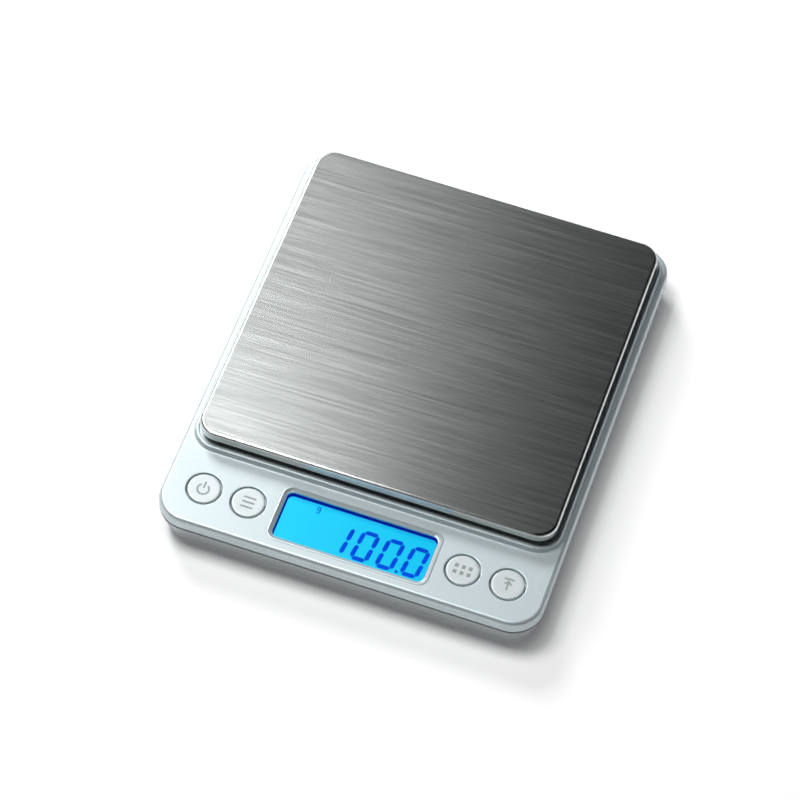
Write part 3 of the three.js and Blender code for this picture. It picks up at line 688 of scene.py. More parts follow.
def bar_rule():
    """Like small bars on points: contact legs, ridges and stripes."""
    rule = Rule("small_bars", Width=1 * MM, Depth=1 * MM, Height=1 * MM)
    size = rule.vector(rule.given["Width"], rule.given["Depth"], rule.given["Height"])
    return rule.close(rule.on_points(rule.cuboid(size, (0, 0, 0))))


def spring_rule():
    """A wire coil that narrows as it rises."""
    rule = Rule("wire_coil", Turns=3.5, Wire=0.28 * MM, Foot=3.4 * MM, Tip=2.1 * MM, Height=4 * MM)
    path = rule.add("GeometryNodeCurveSpiral", {
        "Resolution": 40, "Rotations": rule.given["Turns"], "Start Radius": rule.given["Foot"],
        "End Radius": rule.given["Tip"], "Height": rule.given["Height"], "Reverse": False}).outputs[0]
    wire = rule.add("GeometryNodeCurvePrimitiveCircle", {
        "Resolution": 10, "Radius": rule.given["Wire"]}).outputs[0]
    coil = rule.add("GeometryNodeCurveToMesh", {
        "Curve": path, "Profile Curve": wire, "Fill Caps": True}).outputs[0]
    return rule.close(rule.on_points(coil))


RULES = Made({"screw": screw_rule, "stroke": stroke_rule, "bar": bar_rule, "spring": spring_rule})


# ------------------------------------------------------------------ the two shells

CASE_SCREWS = [middle(f"case_screw_{corner}") for corner in CORNERS]
BOARD_SCREWS = [middle(f"board_screw_{index}") for index in (1, 2, 3, 4)]
BEAM_SCREWS = [middle(f"load_cell_screw_{index}") for index in (1, 2)]
CARRIER_SCREWS = [middle(f"carrier_screw_{index}") for index in (1, 2)]
FEET = [middle(f"foot_{corner}") for corner in CORNERS]
BUTTON_AT = {use: middle(f"button_{use}") for use in BUTTONS}
DECK_INSIDE = DECK - 1.6 * MM
PLATEAU = DECK + 1 * MM
PLATEAU_INSIDE = DECK - 0.4 * MM
FLOOR_INSIDE = UNDERSIDE + 1.6 * MM
TONGUE_TOP = 10.3 * MM
TONGUE_INSET = 1.05 * MM
BOSS_MEET = 5.9 * MM
STOP_REACH = 40 * MM
RISER_LOW, RISER_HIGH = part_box("carrier_riser")
DOOR_LOW, DOOR_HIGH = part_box("battery_door")
CONTACT_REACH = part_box("contact_bridge")[1].x
BAY_HALF = CONTACT_REACH + 0.15 * MM
BAY_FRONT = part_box("battery_1")[0].y - 0.7 * MM
BAY_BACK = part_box("battery_2")[1].y + 0.7 * MM
BAY_TOP = 11.3 * MM
BAY_WALL = 1.2 * MM
HOOK_AT, HOOK_HALF = 15, 3      # in millimetres: where the door's hooks are, and half their width
ROOT = 0.5 * MM         # how deep an added rib, boss or post runs into its wall

# Radii of the posts and holes in the shells, and of the buttons that go through them.
CASE_BOSS = 2.4 * MM
CASE_PILOT = 1.25 * MM
LOWER_BOSS = 3.6 * MM
BOARD_POST = 2 * MM
BOARD_PILOT = 1 * MM
BOARD_POST_FOOT = 7.45 * MM
HEAD_ROOM = 2.8 * MM
FOOT_RECESS = 4.75 * MM
BUTTON_HOLE = 4.86 * MM
BUTTON_CAP = 4.42 * MM


def case_slab(name, profile):
    return slab(name, CASE_SIZE.x, CASE_SIZE.y, sizes().case_corner, profile)


def window_slab(name, margin, profile):
    s = sizes()
    corner = 1.7 * MM + 0.8 * margin
    return slab(name, s.window_width + 2 * margin, s.window_length + 2 * margin, corner, profile,
                (0, WINDOW_Y), 10)


def rim_profile():
    """The lip's outer face: it sweeps up from the deck and turns over into a round crest."""
    top = DECK + sizes().rim_height
    steps = ((-0.30, -1.50), (-0.30, -1.40), (-0.12, -1.36), (0.02, -1.24), (0.12, -1.05), (0.19, -0.8),
             (0.25, -0.55), (0.31, -0.32), (0.41, -0.13), (0.56, -0.03), (0.72, 0))
    return [(inset * MM, top + z * MM) for inset, z in steps]


def upper_shell():
    s = sizes()
    bottom = s.parting + s.seam / 2
    chamfer = 0.22 * MM
    rim_top = DECK + s.rim_height
    rim_corner = s.pan_corner + (s.rim_foot - PAN_SIZE) / 2
    well_corner = s.pan_corner + (s.rim_inside - PAN_SIZE) / 2
    shell = case_slab("upper_shell", [
        (chamfer, bottom), (0, bottom + chamfer), *top_edge(DECK, s.deck_edge)])
    rim = slab("rim", s.rim_foot, s.rim_foot, rim_corner, rim_profile(), (0, PAN_Y))
    join(shell, rim)
    under_pan = s.rim_inside - 3 * MM
    crest = 0.12 * MM
    cut(shell,
        case_slab("hollow", [(s.case_wall, bottom - MM), (s.case_wall, DECK_INSIDE - 0.6 * MM),
                             (s.case_wall + 0.6 * MM, DECK_INSIDE)]),
        slab("under_pan", under_pan, under_pan, well_corner,
             [(0, bottom), (0, PLATEAU_INSIDE)], (0, PAN_Y)),
        slab("well", s.rim_inside, s.rim_inside, well_corner, [
            (0.15 * MM, PLATEAU), (0, PLATEAU + 0.15 * MM), (0, rim_top - crest),
            (-0.35 * crest, rim_top - 0.35 * crest), (-crest, rim_top), (-crest, rim_top + MM)],
            (0, PAN_Y)),
        case_slab("tongue_room", [(TONGUE_INSET - 0.2 * MM, bottom - MM),
                                  (TONGUE_INSET - 0.2 * MM, TONGUE_TOP + s.seam)]))
    for at in CASE_SCREWS:
        ceiling = DECK_INSIDE if at.y < 0 else PLATEAU_INSIDE
        join(shell, post("boss", at.x, at.y, CASE_BOSS, BOSS_MEET, ceiling + ROOT, 32))
    for at in BOARD_SCREWS:
        join(shell, post("board_post", at.x, at.y, BOARD_POST, BOARD_POST_FOOT, DECK_INSIDE + ROOT, 32))
    for sx in (-1, 1):
        for sy in (-1, 1):
            stop_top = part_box("platform_carrier")[0].z - 0.55 * MM
            join(shell, lathe("stop", [
                (0, PLATEAU - ROOT), (2 * MM, PLATEAU - ROOT), (2 * MM, stop_top - 0.2 * MM),
                (1.8 * MM, stop_top), (0, stop_top)], (sx * STOP_REACH, PAN_Y + sy * STOP_REACH)))
    bevel = s.window_bevel
    bead = 0.13 * MM
    lens_size = LENS_HIGH - LENS_LOW
    join(shell, window_slab("bead", bevel + 0.55 * MM, [
        (-0.1 * MM, DECK - ROOT), (0, DECK - 0.01 * MM), (0.12 * MM, DECK + 0.6 * bead),
        (0.25 * MM, DECK + bead), (0.4 * MM, DECK + bead)]))
    cut(shell,
        window_slab("bevel", bevel, [(bevel, DECK - 0.5 * MM), (0.25 * bevel, DECK - 0.12 * MM),
                                     (0.06 * MM, DECK), (-0.12 * MM, DECK + bead), (-0.2 * MM, DECK + MM)]),
        window_slab("opening", 0, [(0, LENS_LOW.z - MM), (0, DECK)]),
        slab("lens_seat", lens_size.x + s.seam, lens_size.y + s.seam, 1.5 * MM,
             [(0, LENS_LOW.z - MM), (0, LENS_HIGH.z + 0.15 * MM)], (0, WINDOW_Y), 6))
    for at in BUTTON_AT.values():
        hole = BUTTON_HOLE
        cut(shell, lathe("hole", [
            (0, LENS_LOW.z - MM), (hole, LENS_LOW.z - MM), (hole, DECK - 0.3 * MM),
            (hole + 0.03 * MM, DECK - 0.17 * MM), (hole + 0.11 * MM, DECK - 0.06 * MM),
            (hole + 0.26 * MM, DECK), (hole + 0.26 * MM, DECK + MM), (0, DECK + MM)], (at.x, at.y), 96))
    for at in CASE_SCREWS:
        cut(shell, post("pilot", at.x, at.y, CASE_PILOT, FLOOR_INSIDE, DECK_INSIDE - ROOT))
    for at in BOARD_SCREWS:
        cut(shell, post("pilot", at.x, at.y, BOARD_PILOT, 7.3 * MM, DECK_INSIDE - ROOT))
    room = 1.2 * MM
    cut(shell, block("riser_hole", (RISER_LOW.x - room, RISER_LOW.y - room, DECK_INSIDE),
                     (RISER_HIGH.x + room, RISER_HIGH.y + room, rim_top)))
    return finish_piece(shell, BASE, "paint", ("top_case",))


def counterbore(at, mouth, chamfer, seat, hole, top):
    """A stepped hole from below: room for a screw's head up to seat, then for its shank."""
    return lathe("counterbore", [
        (0, 0), (mouth, 0), (mouth, UNDERSIDE), (HEAD_ROOM, UNDERSIDE + chamfer), (HEAD_ROOM, seat),
        (hole, seat), (hole, top), (0, top)], (at.x, at.y), 40)


def lower_shell():
    s = sizes()
    top = s.parting - s.seam / 2
    chamfer = 0.18 * MM
    foot_edge = 0.8 * MM
    lean = s.case_lean * (1 - foot_edge / (top - UNDERSIDE))
    inner_lean = s.case_lean * (top - FLOOR_INSIDE) / (top - UNDERSIDE)
    shell = case_slab("lower_shell", [
        *bottom_edge(UNDERSIDE, foot_edge, lean),
        (0, top - 0.3 * MM), (0, top - chamfer), (chamfer, top),
        (TONGUE_INSET, top), (TONGUE_INSET, TONGUE_TOP - 0.2 * MM), (TONGUE_INSET + 0.2 * MM, TONGUE_TOP)])
    cut(shell, case_slab("hollow", [
        (s.case_wall + inner_lean + 0.7 * MM, FLOOR_INSIDE),
        (s.case_wall + inner_lean * 0.93, FLOOR_INSIDE + 0.7 * MM), (s.case_wall, top),
        (s.case_wall, TONGUE_TOP + MM)]))
    bay = block("bay", (-BAY_HALF - BAY_WALL, BAY_FRONT - BAY_WALL, FLOOR_INSIDE - ROOT),
                (BAY_HALF + BAY_WALL, BAY_BACK + BAY_WALL, BAY_TOP))
    low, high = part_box("load_cell_spacer")
    pad = block("beam_pad", (low.x, low.y, FLOOR_INSIDE - ROOT), (high.x, high.y, low.z - 0.15 * MM))
    join(shell, bay, pad)
    for at in CASE_SCREWS:
        join(shell, post("boss", at.x, at.y, LOWER_BOSS, FLOOR_INSIDE - ROOT, BOSS_MEET - 0.15 * MM, 40))
    for y in (-30, -15, 25):
        join(shell, block("rib", (-46 * MM, y * MM - 0.5 * MM, FLOOR_INSIDE - ROOT),
                          (46 * MM, y * MM + 0.5 * MM, FLOOR_INSIDE + 0.8 * MM)))
    ledge = 1.1 * MM
    cut(shell,
        block("bay_inside", (-BAY_HALF, BAY_FRONT, 0), (BAY_HALF, BAY_BACK, BAY_TOP + MM)),
        block("door_opening", (DOOR_LOW.x - s.seam, BAY_FRONT, 0),
              (DOOR_HIGH.x + s.seam, BAY_BACK, UNDERSIDE + ledge)),
        lathe("finger_notch", [(0, 0), (4.9 * MM, 0), (4.7 * MM, UNDERSIDE), (4.3 * MM, UNDERSIDE + 0.7 * MM),
                               (3.6 * MM, UNDERSIDE + MM), (0, UNDERSIDE + MM)], (0, BAY_BACK), 48))
    for side in (-1, 1):
        at, half = side * HOOK_AT * MM, (HOOK_HALF + 0.4) * MM
        cut(shell, block("tab_slot", (at - half, BAY_FRONT - BAY_WALL - MM, FLOOR_INSIDE),
                         (at + half, BAY_FRONT + MM, FLOOR_INSIDE + 2.6 * MM)))
    for at in CASE_SCREWS:
        cut(shell, counterbore(at, 3.1 * MM, 0.3 * MM, 4 * MM, 1.35 * MM, BOSS_MEET + MM))
    for at in BEAM_SCREWS:
        cut(shell, counterbore(at, 3 * MM, 0.2 * MM, 3.2 * MM, 1.65 * MM, 5 * MM))
    for at in FEET:
        cut(shell, post("recess", at.x, at.y, FOOT_RECESS, 0, 1.6 * MM, 48))
    return finish_piece(shell, BASE, "grey_paint", ("bottom_case",))


def rubber_feet():
    """Four pads with a chamfered rim and two shallow grip grooves."""
    rings = ((0, 0.12), (1.2, 0.12), (1.3, 0), (1.9, 0), (2.0, 0.12), (2.3, 0.12), (2.4, 0), (3.0, 0),
             (3.1, 0.12), (3.4, 0.12), (3.5, 0), (4.3, 0), (4.5, 0.07), (4.6, 0.25), (4.6, 1.5), (0, 1.5))
    feet = [lathe("foot", [(r * MM, z * MM) for r, z in rings], (at.x, at.y), 64) for at in FEET]
    nodes = [f"foot_{corner}" for corner in CORNERS]
    return finish_piece(gathered("rubber_feet", feet), BASE, "rubber", nodes)


def gathered(name, parts):
    """One mesh of several bodies that don't touch."""
    mesh = bpy.data.meshes.new(name)
    gathering = bmesh.new()
    for part in parts:
        gathering.from_mesh(part.data)
        bpy.data.objects.remove(part)
    gathering.to_mesh(mesh)
    gathering.free()
    piece = bpy.data.objects.new(name, mesh)
    bpy.context.scene.collection.objects.link(piece)
    return piece


# ------------------------------------------------------------------ the pan and what carries it

def brushed_pan():
    s = sizes()
    top = PAN_HIGH.z
    lip = PAN_LOW.z
    sheet = s.pan_sheet
    inner = top_edge(top - sheet, s.pan_bend - sheet, sheet)
    outer = top_edge(top, s.pan_bend, 0, 10)
    burr = 0.06 * MM
    profile = [*reversed(inner), (sheet, lip + burr), (sheet - burr, lip), (burr, lip), (0, lip + burr),
               *outer]
    pan = slab("brushed_pan", PAN_SIZE, PAN_SIZE, s.pan_corner, profile, (0, PAN_Y), 20)
    unrolled = pan.data.uv_layers.new(name="brushing")
    for face in pan.data.polygons:
        for corner in face.loop_indices:
            at = pan.data.vertices[pan.data.loops[corner].vertex_index].co
            drop = top - at.z
            unrolled.data[corner].uv = (at.x + face.normal.x * drop, at.y + face.normal.y * drop)
    return finish_piece(pan, PLATFORM, "steel", ("weighing_pan",))


def pan_slab(name, size, corner, profile):
    return slab(name, size, size, corner, profile, (0, PAN_Y), 8)


def pan_carrier():
    low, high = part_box("platform_carrier")
    size = high.x - low.x
    plate = high.z - 1.4 * MM
    seat = 16.15 * MM       # where the heads of its screws rest
    rib, inset, corner = 1.4 * MM, 3 * MM, 4.6 * MM
    carrier = pan_slab("pan_carrier", size, corner, [
        (0.2 * MM, plate), (0, plate + 0.2 * MM), (0, high.z - 0.2 * MM), (0.2 * MM, high.z)])
    outer = size - 2 * inset
    border = pan_slab("border", outer, corner, [(0, low.z), (0, plate + 0.2 * MM)])
    cut(border, pan_slab("inside", outer - 2 * rib, corner - rib, [(0, low.z - MM), (0, high.z)]))
    join(carrier, border)
    reach = (outer - rib) / 2
    for offset in (-STOP_REACH, 0, STOP_REACH):
        join(carrier,
             block("rib", (-reach, PAN_Y + offset - rib, low.z), (reach, PAN_Y + offset + rib, plate + ROOT)),
             block("rib", (offset - rib, PAN_Y - reach, low.z), (offset + rib, PAN_Y + reach, plate + ROOT)))
    at = (RISER_LOW.x + RISER_HIGH.x) / 2
    join(carrier, block("seat", (at - 9 * MM, PAN_Y - 8 * MM, low.z),
                        (at + 9 * MM, PAN_Y + 8 * MM, plate + ROOT)))
    for screw in CARRIER_SCREWS:
        cut(carrier, lathe("hole", [
            (0, low.z - MM), (1.65 * MM, low.z - MM), (1.65 * MM, seat), (HEAD_ROOM, seat),
            (HEAD_ROOM, high.z - 0.2 * MM), (3 * MM, high.z + MM), (0, high.z + MM)],
            (screw.x, screw.y), 40))
    return finish_piece(carrier, PLATFORM, "carrier", ("platform_carrier",))


def foam_pad():
    low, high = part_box("adhesive_pad")
    sag = 0.08 * MM
    pad = pan_slab("foam_pad", high.x - low.x, 3 * MM, [
        (0.03 * MM, low.z), (0, low.z + 0.06 * MM), (sag, (low.z + high.z) / 2), (0, high.z - 0.06 * MM),
        (0.03 * MM, high.z)])
    return finish_piece(pad, PLATFORM, "tape", ("adhesive_pad",))


def drilled_block(name, node, screws, edge=0.25 * MM):
    """A machined block with clearance holes for two screws and broken edges."""
    low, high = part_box(node)
    piece = soft_block(name, low, high, edge)
    for at in screws:
        cut(piece, lathe("hole", [
            (0, low.z - MM), (1.9 * MM, low.z - 0.02 * MM), (1.65 * MM, low.z + 0.22 * MM),
            (1.65 * MM, high.z - 0.22 * MM), (1.9 * MM, high.z + 0.02 * MM), (0, high.z + MM)],
            (at.x, at.y), 40))
    return piece


def load_beam():
    """A bar with two joined bores across its middle, which leave four thin places that bend."""
    low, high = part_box("load_cell")
    beam = drilled_block("load_beam", "load_cell", [*BEAM_SCREWS, *CARRIER_SCREWS])
    level = (low.z + high.z) / 2
    for x in (-BEAM_BORE_AT, BEAM_BORE_AT):
        tool = post("bore", 0, 0, BEAM_BORE, -10 * MM, 10 * MM, 64)
        tool.data.transform(Matrix.Translation((x, PAN_Y, level)) @ Matrix.Rotation(math.pi / 2, 4, "X"))
        cut(beam, tool)
    cut(beam, block("slot", (-BEAM_BORE_AT, PAN_Y - 10 * MM, level - 1.2 * MM),
                    (BEAM_BORE_AT, PAN_Y + 10 * MM, level + 1.2 * MM)))
    return finish_piece(beam, BENDING, "alloy", ("load_cell",))


def gauge_coating(side):
    """A poured silicone cover over the strain gauges: thick in its middle, thin at its edges."""
    node = f"gauge_coating_{side}"
    low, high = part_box(node)
    size = high - low
    edge = high.z - low.z
    rise = [(0, 0.05), (0.02, 0.3), (0.12, 0.62), (0.35, 0.86), (0.8, 1)]
    profile = [(inset * MM, low.z + share * edge) for inset, share in rise]
    if side == "lower":
        profile = [(inset, low.z + high.z - z) for inset, z in reversed(profile)]
    piece = slab(f"gauge_cover_{side}", size.x, size.y, 1.6 * MM, profile, (0, PAN_Y), 8)
    return finish_piece(piece, BENDING, "silicone", (node,))


def screws(name, places, nodes, body, head_z, **values):
    """Like screws made by the screw rule, one on each place."""
    points = [(at.x, at.y, head_z) for at in places]
    piece = grow(name, "screw", points, "zinc", **values)
    return finish_piece(piece, body, "zinc", nodes, 28)


# ------------------------------------------------------------------ display

def window_lens():
    low, high = LENS_LOW, LENS_HIGH
    size = high - low
    lens = slab("window_lens", size.x, size.y, 1.5 * MM, [
        (0.1 * MM, low.z), (0, low.z + 0.1 * MM), (0, high.z - 0.12 * MM), (0.04 * MM, high.z - 0.04 * MM),
        (0.12 * MM, high.z)], (0, WINDOW_Y), 8)
    return finish_piece(lens, BASE, "lens", ("display_window",))


def window_gasket():
    low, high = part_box("display_gasket")
    size = high - low
    gasket = slab("window_gasket", size.x, size.y, 1.5 * MM, [(0, low.z), (0, high.z)], (0, WINDOW_Y), 8)
    opening = slab("opening", 41.3 * MM, 14 * MM, 1.5 * MM,
                   [(-0.06 * MM, low.z - MM), (0, low.z), (0, high.z + MM)], (0, WINDOW_Y - 0.05 * MM), 8)
    cut(gasket, opening)
    # Its finish glows navy: painted light from the display on the gasket in the window's shade.
    return finish_piece(gasket, BASE, "gasket", ("display_gasket",))


def display_glass():
    """Two glass plates: the lower one reaches further back, where the contact strip meets it."""
    low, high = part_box("lcd_glass")
    level = (low.z + high.z) / 2
    ledge = 1.6 * MM
    lower = soft_block("display_glass", low, (high.x, high.y, level), 0.06 * MM)
    upper = soft_block("upper_plate", (low.x, low.y, level - 0.02 * MM), (high.x, high.y - ledge, high.z),
                       0.06 * MM)
    return finish_piece(join(lower, upper), BASE, "glow", ("lcd_glass",))


STROKES = {
    "top": (0, 1, 0), "middle": (0, 0, 0), "bottom": (0, -1, 0),
    "upper_left": (-1, 0.5, 90), "upper_right": (1, 0.5, 90),
    "lower_left": (-1, -0.5, 90), "lower_right": (1, -0.5, 90),
}
LIT = {
    0: ("top", "bottom", "upper_left", "upper_right", "lower_left", "lower_right"),
    1: ("upper_right", "lower_right"),
}


def lit_digits():
    """The reading 100.0 as lit strokes, its point and the small unit sign."""
    s = sizes()
    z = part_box("lcd_glass")[1].z
    rise = (s.digit_height - s.segment) / 2
    side = (s.digit_width - s.segment) / 2
    last_digit_x, point_x = 17.02 * MM, 13.25 * MM
    middle_y = WINDOW_Y - 1.05 * MM
    points, turns, stretches = [], [], []
    for place, digit in enumerate((1, 0, 0, 0)):
        x = last_digit_x - (3 - place) * s.digit_pitch
        for name in LIT[digit]:
            across, up, turn = STROKES[name]
            points.append((x + across * side, middle_y + up * rise, z))
            turns.append(math.radians(turn))
            stretches.append(1.0 if turn else (2 * side - s.segment_gap) / (rise - s.segment_gap))
    digits = grow("lit_digits", "stroke", points, "ink",
                  {"turn": turns, "stretch": stretches},
                  Stroke=s.segment, Reach=rise - s.segment_gap, Slant=0.115, Middle=middle_y)
    thin = 0.03 * MM
    dot = lathe("dot", [(0, z), (0.42 * MM, z), (0.42 * MM, z + thin), (0, z + thin)],
                (point_x, middle_y - rise - 0.15 * MM), 24)
    finish_piece(gathered("lit_digits", [digits, dot]), BASE, "ink")
    at = Vector((-11.95 * MM, WINDOW_Y + 5.55 * MM))
    size, pen = 0.44 * MM, 0.3 * MM
    foot = at + Vector((0, -1.75 * size))
    bowl = arc(at, size, 0, 352)
    tail = [at + Vector((size, 1.3 * size)), *arc(foot, size, 0, -150)]
    unit = gathered("unit_sign", [stroke("curve", path, pen, z, z + thin) for path in (bowl, tail)])
    finish_piece(unit, BASE, "faint_ink")


def arc(centre, radius, start, end, steps=24):
    turns = [math.radians(start + (end - start) * i / steps) for i in range(steps + 1)]
    return [Vector((centre.x + radius * math.cos(a), centre.y + radius * math.sin(a))) for a in turns]


def stroke(name, path, width, low, high):
    """A flat bar of even width along a path in the plane."""
    left, right = [], []
    for i, here in enumerate(path):
        ahead = (path[min(i + 1, len(path) - 1)] - path[max(i - 1, 0)]).normalized()
        aside = Vector((-ahead.y, ahead.x)) * width / 2
        left.append(here + aside)
        right.append(here - aside)
    outline = [*right, *reversed(left)]
    rings = [[Vector((p.x, p.y, z)) for p in outline] for z in (low, high)]
    return loft(name, rings)


def display_holder():
    low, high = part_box("lcd_frame")
    holder = soft_block("display_holder", low, high, 0.2 * MM)
    cut(holder, block("inside", (low.x + MM, low.y + 0.8 * MM, low.z - MM),
                      (high.x - MM, high.y - MM, high.z + MM)))
    return finish_piece(holder, BASE, "white", ("lcd_frame",))


def backlight_panel():
    low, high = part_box("lcd_backlight")
    panel = soft_block("backlight_panel", low, high, 0.12 * MM)
    return finish_piece(panel, BASE, "white", ("lcd_backlight",))


def contact_strip():
    """A rubber strip with a close row of conducting stripes."""
    low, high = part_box("lcd_connector_strip")
    half = (high - low) / 2
    centre = (low + high) / 2
    inset = Vector((0, 0.1, 0.03)) * MM
    core = soft_block("contact_strip", low + inset, high - inset, 0.08 * MM)
    count, pitch = 51, 0.8 * MM
    points = [(centre.x + (i - count // 2) * pitch, centre.y, centre.z) for i in range(count)]
    ribs = grow("stripes", "bar", points, "rubber",
                Width=0.35 * MM, Depth=2 * half.y, Height=2 * half.z)
    return finish_piece(join(core, ribs), BASE, "rubber", ("lcd_connector_strip",))


# ------------------------------------------------------------------ buttons

def button_cap(use):
    low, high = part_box(f"button_{use}")
    at = BUTTON_AT[use]
    edge = 0.32 * MM
    flange = (high.x - low.x) / 2
    cap = BUTTON_CAP
    turns = [math.pi / 2 * i / 6 for i in range(7)]
    profile = [(0, low.z), (1.9 * MM, low.z), (2 * MM, low.z + 0.1 * MM), (2 * MM, 10.4 * MM),
               (flange, 10.4 * MM), (flange, 11.25 * MM), (cap, 11.25 * MM)]
    profile += [(cap - edge * (1 - math.cos(a)), high.z - edge * (1 - math.sin(a))) for a in turns]
    profile += [(cap - 3 * edge, high.z - 0.01 * MM), (0, high.z - 0.03 * MM)]
    piece = lathe(f"{use}_cap", profile, (at.x, at.y), 96)
    return finish_piece(piece, f"{use}_button", "cap", (f"button_{use}",))


def plunger(use):
    low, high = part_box(f"switch_plunger_{use}")
    at = BUTTON_AT[use]
    radius = (high.x - low.x) / 2
    edge = 0.15 * MM
    piece = lathe(f"{use}_plunger", [
        (0, low.z), (radius, low.z), (radius, high.z - edge), (radius - edge, high.z), (0, high.z)],
        (at.x, at.y), 40)
    return finish_piece(piece, f"{use}_button", "white", (f"switch_plunger_{use}",))


def mark_paths(use, at):
    """The strokes of a button's sign: on and off, a list of modes, counted pieces, back to zero."""
    def spot(x, y):
        return Vector((at.x + x * MM, at.y + y * MM))

    if use == "power":
        return [arc(spot(-0.15, -0.25), 1.55 * MM, 125, 415), [spot(-0.15, 0.1), spot(-0.15, 2.1)]]
    if use == "mode":
        return [[spot(-1.7, y), spot(1.7, y)] for y in (-1.45, 0, 1.45)]
    if use == "count":
        return [[spot(x, y - 0.55), spot(x, y + 0.55)] for x in (-1.9, 0, 1.9) for y in (-0.95, 0.95)]
    return [[spot(-1.35, 1.6), spot(1.35, 1.6)], [spot(0, -1.75), spot(0, 0.9)],
            [spot(-0.85, -0.05), spot(0, 0.95), spot(0.85, -0.05)]]


def button_mark(use):
    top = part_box(f"button_{use}")[1].z
    wide = 1.0 * MM if use == "count" else 0.5 * MM
    low, high = top - 0.06 * MM, top + 0.012 * MM
    strokes = [stroke("sign", path, wide, low, high) for path in mark_paths(use, BUTTON_AT[use])]
    sign = join(*strokes)
    sign.name = f"{use}_sign"
    return finish_piece(sign, f"{use}_button", "legend")


def switch_housings():
    """The four tactile switches' bodies, with the well that each plunger slides in."""
    parts, legs = [], []
    for use in BUTTONS:
        low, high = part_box(f"switch_{use}")
        at = BUTTON_AT[use]
        body = soft_block("housing", low, high, 0.25 * MM)
        cut(body, post("well", at.x, at.y, 1.85 * MM, 8.6 * MM, high.z + MM, 40))
        parts.append(body)
        legs += [(at.x + sx * 3.15 * MM, at.y + sy * 2.2 * MM, low.z + 0.5 * MM)
                 for sx in (-1, 1) for sy in (-1, 1)]
    piece = gathered("switch_housings", parts)
    finish_piece(piece, BASE, "black", [f"switch_{use}" for use in BUTTONS])
    tags = grow("switch_legs", "bar", legs, "zinc",
                Width=0.25 * MM, Depth=0.7 * MM, Height=1 * MM)
    finish_piece(tags, BASE, "zinc")


# ------------------------------------------------------------------ main board

def circuit_board():
    low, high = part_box("main_board")
    size, centre = high - low, (low + high) / 2
    edge = 0.05 * MM
    board = slab("circuit_board", size.x, size.y, 4 * MM, [
        (edge, low.z), (0, low.z + edge), (0, high.z - edge), (edge, high.z)], (centre.x, centre.y), 8)
    for at in CASE_SCREWS[:2]:
        cut(board, post("notch", at.x, at.y, 2.7 * MM, low.z - MM, high.z + MM, 40))
    for at in BOARD_SCREWS:
        cut(board, post("hole", at.x, at.y, 1.1 * MM, low.z - MM, high.z + MM, 32))
    return finish_piece(board, BASE, "board", ("main_board",))


def resin_blob():
    low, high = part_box("processor_blob")
    radius, height = (high.x - low.x) / 2, high.z - low.z
    steps = [math.pi / 2 * i / 12 for i in range(13)]
    profile = [(radius * math.sin(a) ** 0.8, low.z + height * (1 - math.cos(a)) ** 1.1) for a in steps]
    at = middle("processor_blob")
    piece = lathe("resin_blob", [*profile, (0, high.z)], (at.x, at.y), 48)
    return finish_piece(piece, BASE, "resin", ("processor_blob",), 60)


def converter_chip():
    low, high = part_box("converter_chip")
    inset = 0.6 * MM
    body = soft_block("converter_body", (low.x, low.y + inset, low.z),
                      (high.x, high.y - inset, high.z - 0.1 * MM), 0.12 * MM)
    cut(body, post("first_leg_mark", low.x + MM, low.y + inset + 0.8 * MM, 0.3 * MM,
                   low.z - MM, low.z + 0.08 * MM, 16))
    finish_piece(body, BASE, "black", ("converter_chip",))
    count, pitch = 8, 0.7 * MM
    centre = (low + high) / 2
    places = [(centre.x + (i - (count - 1) / 2) * pitch, side, high.z - 0.25 * MM)
              for i in range(count) for side in (low.y + inset / 2, high.y - inset / 2)]
    legs = grow("converter_legs", "bar", places, "zinc",
                Width=0.3 * MM, Depth=inset, Height=0.4 * MM)
    finish_piece(legs, BASE, "zinc")


def crystal_can():
    low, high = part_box("board_crystal")
    can = slab("crystal_can", high.x - low.x, high.y - low.y, 0.95 * MM, [
        *bottom_edge(low.z, 0.3 * MM), (0, high.z - 0.3 * MM), (0, high.z)],
        (middle("board_crystal").x, middle("board_crystal").y), 8)
    return finish_piece(can, BASE, "zinc", ("board_crystal",))


def capacitor_can():
    low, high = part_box("board_capacitor")
    radius = (high.x - low.x) / 2
    neck = high.z - 0.5 * MM
    at = middle("board_capacitor")
    can = lathe("capacitor_can", [
        (0, low.z), (radius - 0.25 * MM, low.z), (radius, low.z + 0.25 * MM), (radius, neck - 0.2 * MM),
        (radius - 0.15 * MM, neck), (radius, neck + 0.2 * MM), (radius, high.z), (0, high.z)],
        (at.x, at.y), 40)
    return finish_piece(can, BASE, "alloy", ("board_capacitor",))


# ------------------------------------------------------------------ battery bay

CELL_AT = {1: (1, middle("battery_1")), 2: (-1, middle("battery_2"))}


def laid_along_x(piece, side, at_x, y, z):
    """Turns a piece made about Z so that its upper end points towards side along X."""
    piece.data.transform(Matrix.Translation((at_x, y, z)) @ Matrix.Rotation(side * math.pi / 2, 4, "Y"))
    return piece


